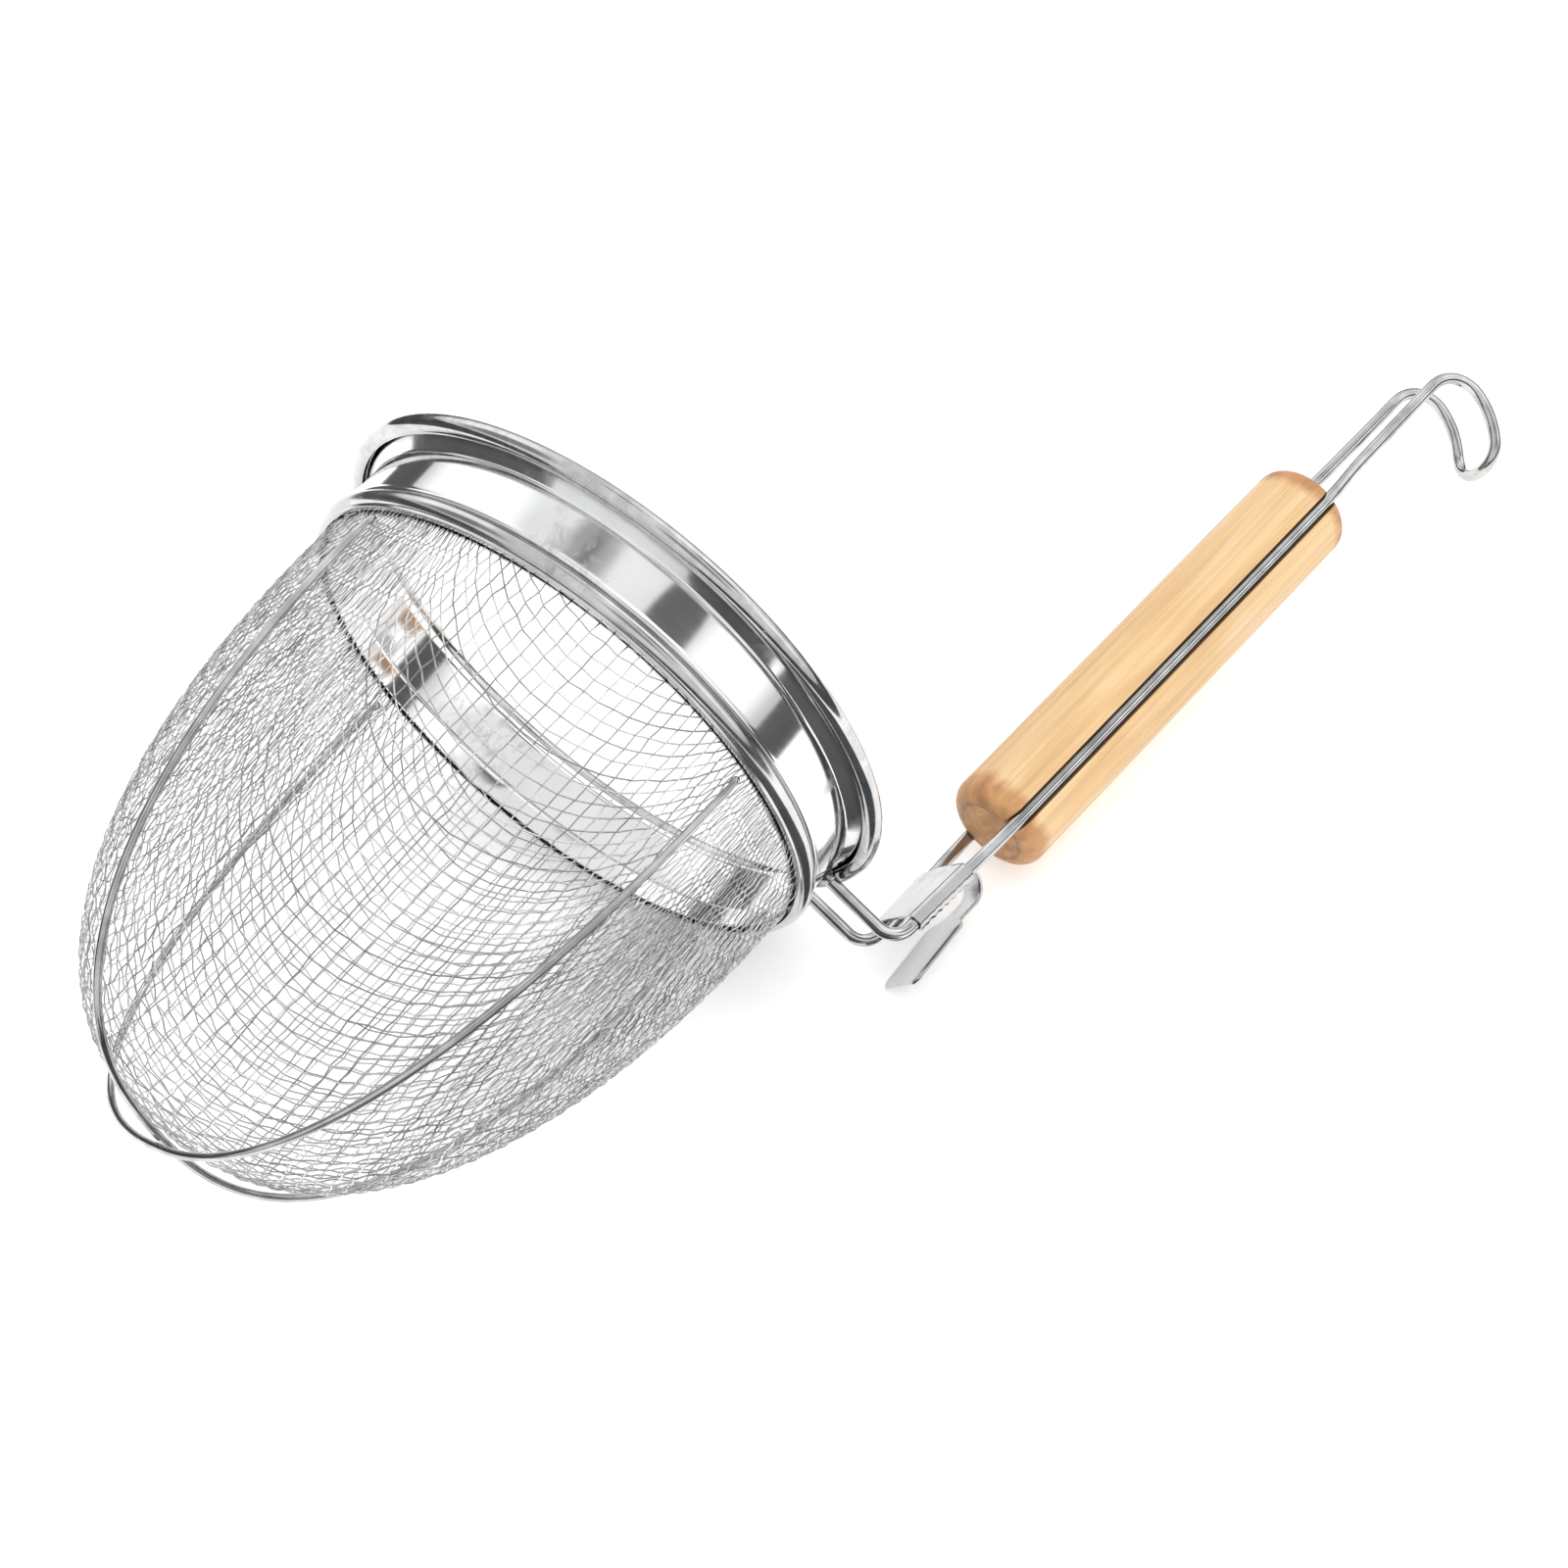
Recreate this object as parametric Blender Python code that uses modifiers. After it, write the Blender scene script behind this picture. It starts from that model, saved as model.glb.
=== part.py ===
"""Deep wire-mesh strainer with a flanged steel rim, a bent-wire handle and a wooden grip.

The strainer is designed in its own frame: the rim's rolled edge is centred on the origin,
+Z runs out of the mouth and the handle stands at +X.  An empty then lays the whole
strainer down on its side, the way it rests on a table, with the table at Z = 0.
"""

import math

import bmesh
import bpy
from mathutils import Matrix, Vector

MM = 0.001
TAU = 2.0 * math.pi

# ---- driving dimensions, in millimetres -------------------------------------------------
SHEET = 0.8                 # thickness of the rim's sheet steel
GAP = 0.3                   # clearance between neighbouring pieces

BEAD_CENTRE = 72.7          # radius of the rolled edge's centre line
BEAD_OUTER = 2.3            # outer radius of the rolled edge
BEAD_ROLL = (196.0, -128.0)  # degrees where the roll begins and ends
CORE_WIRE = 1.1             # radius of the wire inside the rolled edge
BAND_TOP = (67.6, -3.5)     # radius and height where the flange meets the band
BAND_FOOT = (68.3, -16.2)   # radius and height of the band's foot
SKIRT_RADIUS = 65.5         # the skirt inside the basket's mouth, below the band
SKIRT_FOOT = -21.6
FOLD = 0.7                  # how far a bevel reaches at a fold in the sheet

CLAMP_HEIGHT = -19.3        # half-round ring that presses the mesh onto the skirt
CLAMP_HALF = 2.6
CLAMP_BORE = 67.6
CLAMP_LAND = 0.3            # flat step between the clamp ring's bore and its half round

BASKET_RADIUS = 67.2        # outside of the mesh at the mouth
BASKET_TOP = -17.9          # height of the mesh's cut edge, inside the clamp ring
BASKET_DEPTH = 126.5        # from the clamp ring to the bottom of the mesh
BASKET_SKIN = 0.8           # two crossing wires thick
BASKET_ROUND = (2.44, 2.27)  # exponents of the basket's rounded outline
BASKET_LEAN = -6.5          # the basket hangs this far off the rim's axis at its bottom

LEG_RADIUS = 0.95
LEG_TURN = 22.2             # angle from the handle to the nearest support wire
LEG_START = -24.0           # height of the support wires' upper ends
LEG_STAND_OFF = 1.35        # from the mesh to the wire's centre at the top
LEG_POLE_STAND_OFF = 2.3    # and at the bottom, for the inner wire of the two
LEG_POINTS = 15             # points along each arm
LEG_FINE = 4                # the arm is first worked out this much finer

HANDLE_RADIUS = 1.6
HANDLE_TILT = math.radians(6.2)     # the handle leans away from the rim's axis
HANDLE_FOOT = (92.7, -2.0)  # radius and height of a point on the handle's line
WELD_START = 69.3           # radius where the handle's wires begin, against the band
WELD_HEIGHT = -4.2
FOOT_BEND = 6.2
# distance along the handle, and half the distance between its two wires there
WIRE_SPREAD = ((4.0, 7.9), (25.0, 10.1), (39.0, 11.4), (171.0, 11.4), (184.0, 8.6), (205.0, 7.9))
HOOK_START = 219.0          # distance along the handle where the hook begins
HOOK_BENDS = ((10.5, 100.0), (20.0, 136.0))     # bend radius, and heading where it ends
HOOK_HALF = 7.9
HOOK_STEP = 13.0            # degrees of bend between points
HOOK_TIP_POINTS = 5

GRIP_RADIUS = 13.0
GRIP_SPAN = (39.5, 170.5)
GRIP_ROUNDING = 4.5
GROOVE_RADIUS = 1.95
GROOVE_OVERRUN = 10.0       # the groove's cutter runs past each end of the grip
GROOVE_OPEN = 4.0           # and past the grip's surface

CLIP_SHEET = 0.6
CLIP_SPAN = (5.0, 23.0)     # the sleeve's lower and upper edge, along the handle
CLIP_BORE = 1.9
TONGUE_SHEET = 0.7
TONGUE_BEND = 5.4
TONGUE_OVERLAP = 3.0        # the tongue begins this far inside the web
TONGUE_BEND_DROP = 0.8      # its bend begins this far below the sleeve's upper edge
TONGUE_NECK = 4.3           # half widths
TONGUE_BLADE = 8.6
TONGUE_SHOULDER = 15.5      # distance along the handle where the blade begins
TONGUE_SLOPE = 1.5          # half the length over which the neck widens into the blade
TONGUE_FOOT = -4.8
TONGUE_FLARE = 1.6          # the blade's foot stands this much further out
TONGUE_CORNERS = ((1.5, 0.0), (0.4, 0.5), (0.0, 1.6))   # height left and width lost there

AROUND = 64                 # steps round the rim
BASKET_AROUND = 48
BASKET_RINGS = 16
GRIP_AROUND = 40

# the strainer's attitude when it lies down: first a turn about its own axis, then a tip
REST_TURN = -49.13
REST_TIP = 79.34

STEEL = (0.80, 0.81, 0.82, 1.0)
WIRE_STEEL = (0.70, 0.71, 0.73, 1.0)
MESH_STEEL = (0.62, 0.63, 0.65, 1.0)
MAPLE = (0.80, 0.58, 0.36, 1.0)


# ---- helpers ----------------------------------------------------------------------------
def clear_scene():
    for obj in list(bpy.data.objects):
        bpy.data.objects.remove(obj, do_unlink=True)


def new_collection(name):
    group = bpy.data.collections.new(name)
    bpy.context.scene.collection.children.link(group)
    return group


def make_material(name, colour, metallic, roughness):
    material = bpy.data.materials.new(name)
    material.use_nodes = True
    shader = material.node_tree.nodes["Principled BSDF"]
    shader.inputs["Base Color"].default_value = colour
    shader.inputs["Metallic"].default_value = metallic
    shader.inputs["Roughness"].default_value = roughness
    return material


def add_object(name, data, group, material=None):
    obj = bpy.data.objects.new(name, data)
    group.objects.link(obj)
    if material is not None:
        data.materials.append(material)
    return obj


def screw(obj, steps):
    turned = obj.modifiers.new("Turn", "SCREW")
    turned.axis = "Z"
    turned.angle = TAU
    turned.steps = steps
    turned.render_steps = steps
    turned.use_merge_vertices = True
    turned.merge_threshold = 0.00001
    turned.use_smooth_shade = True


def turned_object(name, outline, closed, steps, group, material):
    """Turn an outline of (radius, height) in millimetres about Z."""
    count = len(outline)
    points = [(radius * MM, 0.0, height * MM) for radius, height in outline]
    edges = [(i, i + 1) for i in range(count - 1)]
    if closed:
        edges.append((count - 1, 0))
    mesh = bpy.data.meshes.new(name)
    mesh.from_pydata(points, edges, [])
    obj = add_object(name, mesh, group, material)
    screw(obj, steps)
    return obj


def wire_object(name, points, radius, group, material, sides=2):
    """A round wire with filled ends along points in millimetres."""
    curve = bpy.data.curves.new(name, "CURVE")
    curve.dimensions = "3D"
    curve.bevel_depth = radius * MM
    curve.bevel_resolution = sides
    curve.use_fill_caps = True
    curve.resolution_u = 1
    spline = curve.splines.new("POLY")
    spline.points.add(len(points) - 1)
    for slot, point in zip(spline.points, points):
        slot.co = (point[0] * MM, point[1] * MM, point[2] * MM, 1.0)
    spline.use_smooth = True
    return add_object(name, curve, group, material)


def arc(centre, radius, start, end, count):
    """Points in a plane on an arc between two angles in degrees."""
    turns = [math.radians(start + (end - start) * i / count) for i in range(count + 1)]
    return [(centre[0] + radius * math.cos(t), centre[1] + radius * math.sin(t)) for t in turns]


def sheet_outline(line, thickness):
    """The closed outline of a sheet whose middle follows a line in the plane."""
    left, right = [], []
    for i, point in enumerate(line):
        here = Vector(point)
        before = here - Vector(line[i - 1]) if i > 0 else None
        after = Vector(line[i + 1]) - here if i < len(line) - 1 else None
        sides = [s.normalized() for s in (before, after) if s is not None]
        along = sum(sides, Vector((0.0, 0.0))).normalized()
        normal = Vector((-along.y, along.x))
        reach = 0.5 * thickness / max(0.5, along.dot(sides[0]))
        left.append(tuple(here + normal * reach))
        right.append(tuple(here - normal * reach))
    return left + right[::-1]


def baked_mesh(obj):
    """The object's evaluated mesh, as a mesh of its own."""
    bpy.context.view_layer.update()
    graph = bpy.context.evaluated_depsgraph_get()
    return bpy.data.meshes.new_from_object(obj.evaluated_get(graph))


def bake(obj):
    mesh = baked_mesh(obj)
    obj.modifiers.clear()
    obj.data = mesh
    return mesh


def boolean(obj, other, operation):
    step = obj.modifiers.new(operation.title(), "BOOLEAN")
    step.operation = operation
    step.object = other
    step.solver = "EXACT"


# ---- rim --------------------------------------------------------------------------------
def rim_band(group, material):
    """Sheet ring: skirt, band, flange and an edge rolled over the core wire."""
    roll = arc((BEAD_CENTRE, 0.0), BEAD_OUTER - SHEET / 2, *BEAD_ROLL, 11)
    line = [
        (SKIRT_RADIUS, SKIRT_FOOT),
        (SKIRT_RADIUS, BAND_FOOT[1] - FOLD),
        (BAND_FOOT[0] - FOLD, BAND_FOOT[1]),
        (BAND_FOOT[0], BAND_FOOT[1] + FOLD),
        (BAND_TOP[0], BAND_TOP[1] - FOLD),
        (BAND_TOP[0] + FOLD, BAND_TOP[1]),
    ] + roll
    return turned_object("rim_band", sheet_outline(line, SHEET), True, AROUND, group, material)


def rim_core_wire(group, material):
    outline = arc((BEAD_CENTRE, 0.0), CORE_WIRE, 0.0, -360.0, 8)[:-1]
    return turned_object("rim_core_wire", outline, True, AROUND, group, material)


def mesh_clamp_ring(group, material):
    """Half-round ring, flat inside, that holds the mesh against the skirt."""
    outline = arc((CLAMP_BORE + CLAMP_LAND, CLAMP_HEIGHT), CLAMP_HALF, 90.0, -90.0, 8)
    outline += [(CLAMP_BORE, CLAMP_HEIGHT - CLAMP_HALF), (CLAMP_BORE, CLAMP_HEIGHT + CLAMP_HALF)]
    return turned_object("mesh_clamp_ring", outline, True, AROUND, group, material)


# ---- basket -----------------------------------------------------------------------------
def basket_outline(radius, depth, count):
    """From the mouth down to the bottom, as (radius, height)."""
    bulge, fall = BASKET_ROUND
    points = []
    for i in range(count + 1):
        share = math.sin(0.5 * math.pi * i / count)
        inside = max(0.0, 1.0 - share ** fall)
        points.append((radius * inside ** (1.0 / bulge), CLAMP_HEIGHT - depth * share))
    return points


def basket_shear():
    """The sideways lean of the basket, which grows from the clamp ring down."""
    lean = Matrix.Identity(4)
    lean[0][2] = -BASKET_LEAN / BASKET_DEPTH
    lean[0][3] = -BASKET_LEAN * -CLAMP_HEIGHT / BASKET_DEPTH * MM
    return lean


def mesh_basket(group, material):
    """The woven basket as one thin skin, open at the mouth."""
    bore = BASKET_RADIUS - BASKET_SKIN
    outer = basket_outline(BASKET_RADIUS, BASKET_DEPTH, BASKET_RINGS)
    inner = basket_outline(bore, BASKET_DEPTH - BASKET_SKIN, BASKET_RINGS)
    outer[-1] = (0.0, outer[-1][1])
    inner[-1] = (0.0, inner[-1][1])
    outline = inner[::-1] + [(bore, BASKET_TOP), (BASKET_RADIUS, BASKET_TOP)] + outer
    basket = turned_object("mesh_basket", outline, False, BASKET_AROUND, group, material)
    bake(basket).transform(basket_shear())
    return basket


def leg_arm(turn, pole_stand_off):
    """One arm of a support wire, from its upper end down to the bottom."""
    outline = basket_outline(BASKET_RADIUS, BASKET_DEPTH, LEG_FINE * LEG_POINTS)
    points = []
    for i in range(len(outline) - 1):
        height = outline[i][1]
        if height > LEG_START:
            continue
        along = Vector((outline[i + 1][0] - outline[i - 1][0], outline[i + 1][1] - outline[i - 1][1]))
        normal = Vector((-along.y, along.x)).normalized()
        depth = (CLAMP_HEIGHT - height) / BASKET_DEPTH
        reach = LEG_STAND_OFF + (pole_stand_off - LEG_STAND_OFF) * depth ** 3
        spot = Vector(outline[i]) + normal * reach
        points.append((spot.x * math.cos(turn), spot.x * math.sin(turn), spot.y))
    return points[::LEG_FINE]


def support_wire(name, turn_degrees, pole_stand_off, group, material):
    """A U of wire that runs down one side of the basket, under it and up the other."""
    turn = math.radians(turn_degrees)
    down = leg_arm(turn, pole_stand_off)
    up = leg_arm(turn + math.pi, pole_stand_off)[::-1]
    pole = (0.0, 0.0, CLAMP_HEIGHT - BASKET_DEPTH - pole_stand_off)
    points = []
    for spot in down + [pole] + up:
        lean = BASKET_LEAN * (CLAMP_HEIGHT - spot[2]) / BASKET_DEPTH
        points.append((spot[0] + lean, spot[1], spot[2]))
    return wire_object(name, points, LEG_RADIUS, group, material)


# ---- handle -----------------------------------------------------------------------------
def handle_point(distance, outward=0.0):
    """Radius and height of a point on the handle's line."""
    return (
        HANDLE_FOOT[0] + distance * math.sin(HANDLE_TILT) + outward * math.cos(HANDLE_TILT),
        HANDLE_FOOT[1] + distance * math.cos(HANDLE_TILT) - outward * math.sin(HANDLE_TILT),
    )


def foot_bend():
    """From the weld out along the flange, then up to the handle's line."""
    turn = math.pi / 2 - HANDLE_TILT
    corner_distance = (WELD_HEIGHT - HANDLE_FOOT[1]) / math.cos(HANDLE_TILT)
    corner = handle_point(corner_distance)
    reach = FOOT_BEND * math.tan(turn / 2)
    centre = (corner[0] - reach, WELD_HEIGHT + FOOT_BEND)
    bend = arc(centre, FOOT_BEND, -90.0, -math.degrees(HANDLE_TILT), 7)
    return [(WELD_START, WELD_HEIGHT)] + bend


def hook_line():
    """The hook's line in the handle's plane, and the heading at its end."""
    heading = math.degrees(HANDLE_TILT)
    points = [handle_point(HOOK_START)]
    for radius, end in HOOK_BENDS:
        start = math.radians(heading)
        centre = (points[-1][0] + radius * math.cos(start), points[-1][1] - radius * math.sin(start))
        count = round((end - heading) / HOOK_STEP)
        points += arc(centre, radius, 180.0 - heading, 180.0 - end, count)[1:]
        heading = end
    return points, heading


def hook_tip(start, heading):
    """The turn that joins the two wires, as (radius, half spread, height)."""
    radius = HOOK_BENDS[-1][0]
    first = math.radians(heading)
    centre = (start[0] + radius * math.cos(first), start[1] - radius * math.sin(first))
    points = []
    for i in range(1, HOOK_TIP_POINTS + 1):
        swing = 0.5 * math.pi * i / HOOK_TIP_POINTS
        turned = math.pi - first - HOOK_HALF * math.sin(swing) / radius
        spot = (centre[0] + radius * math.cos(turned), centre[1] + radius * math.sin(turned))
        points.append((spot[0], HOOK_HALF * math.cos(swing), spot[1]))
    return points


def handle_side():
    """Half of the handle's wire, from the weld to the middle of the hook's tip."""
    first = WIRE_SPREAD[0][1]
    points = [(radius, first, height) for radius, height in foot_bend()]
    for distance, half in WIRE_SPREAD:
        radius, height = handle_point(distance)
        points.append((radius, half, height))
    hook, heading = hook_line()
    points += [(radius, HOOK_HALF, height) for radius, height in hook]
    return points + hook_tip(hook[-1], heading)


def handle_wire(group, material):
    near = handle_side()
    far = [(x, -y, z) for x, y, z in near[:-1]]
    return wire_object("handle_wire", near + far[::-1], HANDLE_RADIUS, group, material, 3)


def place_on_handle(obj, distance):
    """Put an object's origin on the handle's line, with its Z along the handle."""
    radius, height = handle_point(distance)
    obj.location = (radius * MM, 0.0, height * MM)
    obj.rotation_euler = (0.0, HANDLE_TILT, 0.0)


def groove_cutter(name, side, length, group):
    """A slot with a round bottom for one wire, open to the outside of the grip."""
    shape = bmesh.new()
    bmesh.ops.create_cone(
        shape, cap_ends=True, segments=16, radius1=GROOVE_RADIUS * MM,
        radius2=GROOVE_RADIUS * MM, depth=length * MM,
    )
    wire_half = WIRE_SPREAD[2][1]
    for corner in shape.verts:
        if corner.co.y > 0.5 * GROOVE_RADIUS * MM:
            corner.co.y += GROOVE_OPEN * MM
        corner.co.y = side * (corner.co.y + wire_half * MM)
    if side < 0:
        bmesh.ops.reverse_faces(shape, faces=shape.faces)
    mesh = bpy.data.meshes.new(name)
    shape.to_mesh(mesh)
    shape.free()
    cutter = add_object(name, mesh, group)
    cutter.hide_render = True
    cutter.display_type = "WIRE"
    return cutter


def wooden_grip(group, cutters, material):
    """A plain turned grip with rounded ends and a groove on each side."""
    length = GRIP_SPAN[1] - GRIP_SPAN[0]
    middle = 0.5 * (GRIP_SPAN[0] + GRIP_SPAN[1])
    half = length / 2
    top = arc((GRIP_RADIUS - GRIP_ROUNDING, half - GRIP_ROUNDING), GRIP_ROUNDING, 90.0, 0.0, 5)
    foot = [(radius, -height) for radius, height in top[::-1]]
    outline = [(0.0, half)] + top + foot + [(0.0, -half)]
    grip = turned_object("wooden_grip", outline, False, GRIP_AROUND, group, material)
    place_on_handle(grip, middle)
    for side, label in ((1, "left"), (-1, "right")):
        reach = length + 2.0 * GROOVE_OVERRUN
        cutter = groove_cutter("groove_cutter_" + label, side, reach, cutters)
        place_on_handle(cutter, middle)
        boolean(grip, cutter, "DIFFERENCE")
    return grip


# ---- clip with the pot rest -------------------------------------------------------------
def wire_half_at(distance):
    """Half the distance between the handle's wires at a distance along it."""
    for (low, half_low), (high, half_high) in zip(WIRE_SPREAD, WIRE_SPREAD[1:]):
        if low <= distance <= high:
            return half_low + (half_high - half_low) * (distance - low) / (high - low)
    return WIRE_SPREAD[0][1]


def sleeve_section(half):
    """Cross-section of the clip: a flat web whose two edges are rolled round the wires."""
    middle = CLIP_BORE + CLIP_SHEET / 2
    left = arc((0.0, half), middle, -100.0, 180.0, 12)
    right = [(x, -y) for x, y in left[::-1]]
    return sheet_outline(left + right, CLIP_SHEET)


def sleeve_mesh():
    """Loft between the section at the sleeve's mouth and the wider one at its top."""
    rings = []
    shape = bmesh.new()
    length = CLIP_SPAN[1] - CLIP_SPAN[0]
    for height, distance in ((0.0, CLIP_SPAN[0]), (length, CLIP_SPAN[1])):
        section = sleeve_section(wire_half_at(distance))
        rings.append([shape.verts.new((x * MM, y * MM, height * MM)) for x, y in section])
    count = len(rings[0])
    for i in range(count):
        j = (i + 1) % count
        shape.faces.new((rings[0][i], rings[0][j], rings[1][j], rings[1][i]))
    shape.faces.new(rings[0])
    shape.faces.new(rings[1])
    bmesh.ops.recalc_face_normals(shape, faces=shape.faces)
    mesh = bpy.data.meshes.new("handle_clip")
    shape.to_mesh(mesh)
    shape.free()
    return mesh


def tongue_line():
    """The tongue's line from the web's top, over and down outside: (outward, height, half width)."""
    web = -(CLIP_BORE + CLIP_SHEET / 2)
    top = CLIP_SPAN[1] - CLIP_SPAN[0]
    drop = CLIP_SPAN[0]
    bend_start = top - TONGUE_BEND_DROP
    neck = [(web, top - TONGUE_OVERLAP, TONGUE_NECK), (web, bend_start, TONGUE_NECK)]
    bend = arc((web + TONGUE_BEND, bend_start), TONGUE_BEND, 180.0, 0.0, 8)[1:]
    neck += [(x, z, TONGUE_NECK) for x, z in bend]
    outer = web + 2.0 * TONGUE_BEND
    shoulder = TONGUE_SHOULDER - drop
    foot = TONGUE_FOOT - drop
    blade = [
        (outer, shoulder + TONGUE_SLOPE, TONGUE_NECK),
        (outer, shoulder - TONGUE_SLOPE, TONGUE_BLADE),
    ]
    for left, lost in TONGUE_CORNERS:
        blade.append((outer + TONGUE_FLARE, foot + left, TONGUE_BLADE - lost))
    return neck + blade


def tongue_object(group):
    """The tongue on its own, a strip with thickness."""
    shape = bmesh.new()
    rows = []
    for x, z, half in tongue_line():
        rows.append([shape.verts.new((x * MM, y * MM, z * MM)) for y in (-half, 0.0, half)])
    for low, high in zip(rows, rows[1:]):
        for i in (0, 1):
            shape.faces.new((low[i], low[i + 1], high[i + 1], high[i]))
    mesh = bpy.data.meshes.new("tongue_strip")
    shape.to_mesh(mesh)
    shape.free()
    strip = add_object("tongue_strip", mesh, group)
    solid = strip.modifiers.new("Sheet", "SOLIDIFY")
    solid.thickness = TONGUE_SHEET * MM
    solid.offset = 0.0
    strip.hide_render = True
    strip.display_type = "WIRE"
    return strip


def handle_clip(group, cutters, material):
    """Sleeve and pot-rest tongue, made from one blank."""
    clip = add_object("handle_clip", sleeve_mesh(), group, material)
    strip = tongue_object(cutters)
    for obj in (clip, strip):
        place_on_handle(obj, CLIP_SPAN[0])
    boolean(clip, strip, "UNION")
    return clip


# ---- assembly ---------------------------------------------------------------------------
def lay_down(pieces, cutters):
    """Parent everything to one empty and turn it onto its side, standing on Z = 0."""
    rest = bpy.data.objects.new("rest_attitude", None)
    bpy.context.scene.collection.objects.link(rest)
    for obj in pieces + cutters:
        obj.parent = rest
    turn = Matrix.Rotation(math.radians(REST_TURN), 4, "Z")
    tip = Matrix.Rotation(math.radians(REST_TIP), 4, "Y")
    rest.matrix_world = tip @ turn
    bpy.context.view_layer.update()
    low = [1.0, 1.0, 1.0]
    high = [-1.0, -1.0, -1.0]
    for obj in pieces:
        mesh = baked_mesh(obj)
        for corner in mesh.vertices:
            spot = obj.matrix_world @ corner.co
            low = [min(a, b) for a, b in zip(low, spot)]
            high = [max(a, b) for a, b in zip(high, spot)]
        bpy.data.meshes.remove(mesh)
    shift = Vector((-(low[0] + high[0]) / 2, -(low[1] + high[1]) / 2, -low[2]))
    rest.matrix_world = Matrix.Translation(shift) @ rest.matrix_world
    bpy.context.view_layer.update()


def main():
    clear_scene()
    parts = new_collection("mesh_strainer")
    cutters = new_collection("cutters")
    steel = make_material("polished_steel", STEEL, 1.0, 0.12)
    wire = make_material("wire_steel", WIRE_STEEL, 1.0, 0.22)
    woven = make_material("mesh_steel", MESH_STEEL, 1.0, 0.30)
    clip_steel = make_material("clip_steel", STEEL, 1.0, 0.25)
    wood = make_material("maple", MAPLE, 0.0, 0.55)

    rim_band(parts, steel)
    rim_core_wire(parts, wire)
    mesh_clamp_ring(parts, steel)
    mesh_basket(parts, woven)
    support_wire("support_wire_inner", LEG_TURN, LEG_POLE_STAND_OFF, parts, wire)
    outer_stand_off = LEG_POLE_STAND_OFF + 2.0 * LEG_RADIUS + GAP
    support_wire("support_wire_outer", LEG_TURN + 90.0, outer_stand_off, parts, wire)
    handle_wire(parts, wire)
    wooden_grip(parts, cutters, wood)
    handle_clip(parts, cutters, clip_steel)
    lay_down(list(parts.objects), list(cutters.objects))


main()
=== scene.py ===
"""Looks of the mesh strainer: woven basket, polished rim, drawn wires, crimped clip, wooden grip.

Every piece is drawn in the strainer's own frame, in millimetres: the rim's rolled edge is
centred on the origin, +Z runs out of the mouth and the handle stands at +X.  PLACE lays
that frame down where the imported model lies.
"""

import math

import bmesh
import bpy
import numpy as np
from mathutils import Matrix, Vector


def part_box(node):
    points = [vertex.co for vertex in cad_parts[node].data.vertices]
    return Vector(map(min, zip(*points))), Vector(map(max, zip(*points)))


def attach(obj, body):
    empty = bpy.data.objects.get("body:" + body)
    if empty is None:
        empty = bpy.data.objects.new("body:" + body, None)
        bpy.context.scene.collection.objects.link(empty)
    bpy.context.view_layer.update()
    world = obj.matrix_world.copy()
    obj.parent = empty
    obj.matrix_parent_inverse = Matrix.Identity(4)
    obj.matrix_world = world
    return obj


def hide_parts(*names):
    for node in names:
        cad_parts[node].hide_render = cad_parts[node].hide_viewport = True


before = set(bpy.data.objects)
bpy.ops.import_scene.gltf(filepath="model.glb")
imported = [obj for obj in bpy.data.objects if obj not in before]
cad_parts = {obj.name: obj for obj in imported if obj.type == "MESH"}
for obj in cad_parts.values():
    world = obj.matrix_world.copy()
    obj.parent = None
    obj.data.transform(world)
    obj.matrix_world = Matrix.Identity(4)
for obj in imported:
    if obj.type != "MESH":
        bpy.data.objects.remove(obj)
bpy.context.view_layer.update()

MM = 0.001
TAU = 2.0 * math.pi

# ---- where the strainer lies --------------------------------------------------------------
REST_TURN = math.radians(-49.13)
REST_TIP = math.radians(79.34)
CORE_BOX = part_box("rim_core_wire")
RING_CENTRE = (CORE_BOX[0] + CORE_BOX[1]) / 2
PLACE = (
    Matrix.Translation(RING_CENTRE)
    @ Matrix.Rotation(REST_TIP, 4, "Y")
    @ Matrix.Rotation(REST_TURN, 4, "Z")
)

# ---- sizes in millimetres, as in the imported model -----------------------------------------
# the rim's sheet, its line as (radius, height)
SHEET = 0.8
BEAD_CENTRE = 72.7
BEAD_OUTER = 2.3
BEAD_ROLL = (196.0, -128.0)     # the rolled edge's first and last angle in degrees
BEAD_POINTS = 30
BAND_TOP = (67.6, -3.5)
BAND_FOOT = (68.3, -16.2)
BAND_RIB = 0.25                 # the band's foot bulges this much above the clamp ring
BAND_RIB_LIFT = 0.1             # the bulge's height above the band's foot
BAND_RIB_REACH = 1.0            # where the band is straight again, above its foot
SKIRT_RADIUS = 65.5
SKIRT_FOOT = -21.6
SKIRT_TOP_DROP = 0.5            # the skirt's top below the band's foot
FOLD_RADIUS = 0.7
RIM_STEPS = 256                 # flats round a piece of the rim

CLAMP_HEIGHT = -19.3
CLAMP_HALF = 2.6
CLAMP_BORE = 67.6
CLAMP_CROWN = (0.3, 0.4)        # the crown's centre, out from the bore and up from the middle
CLAMP_CROWN_ARC = (90.0, -78.0)
CLAMP_CROWN_POINTS = 20
CLAMP_LIP = 0.8                 # the flat lip along the clamp ring's lower edge
CLAMP_LIP_WIDTH = 1.15
CLAMP_LIP_ROUND = 0.2

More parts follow.
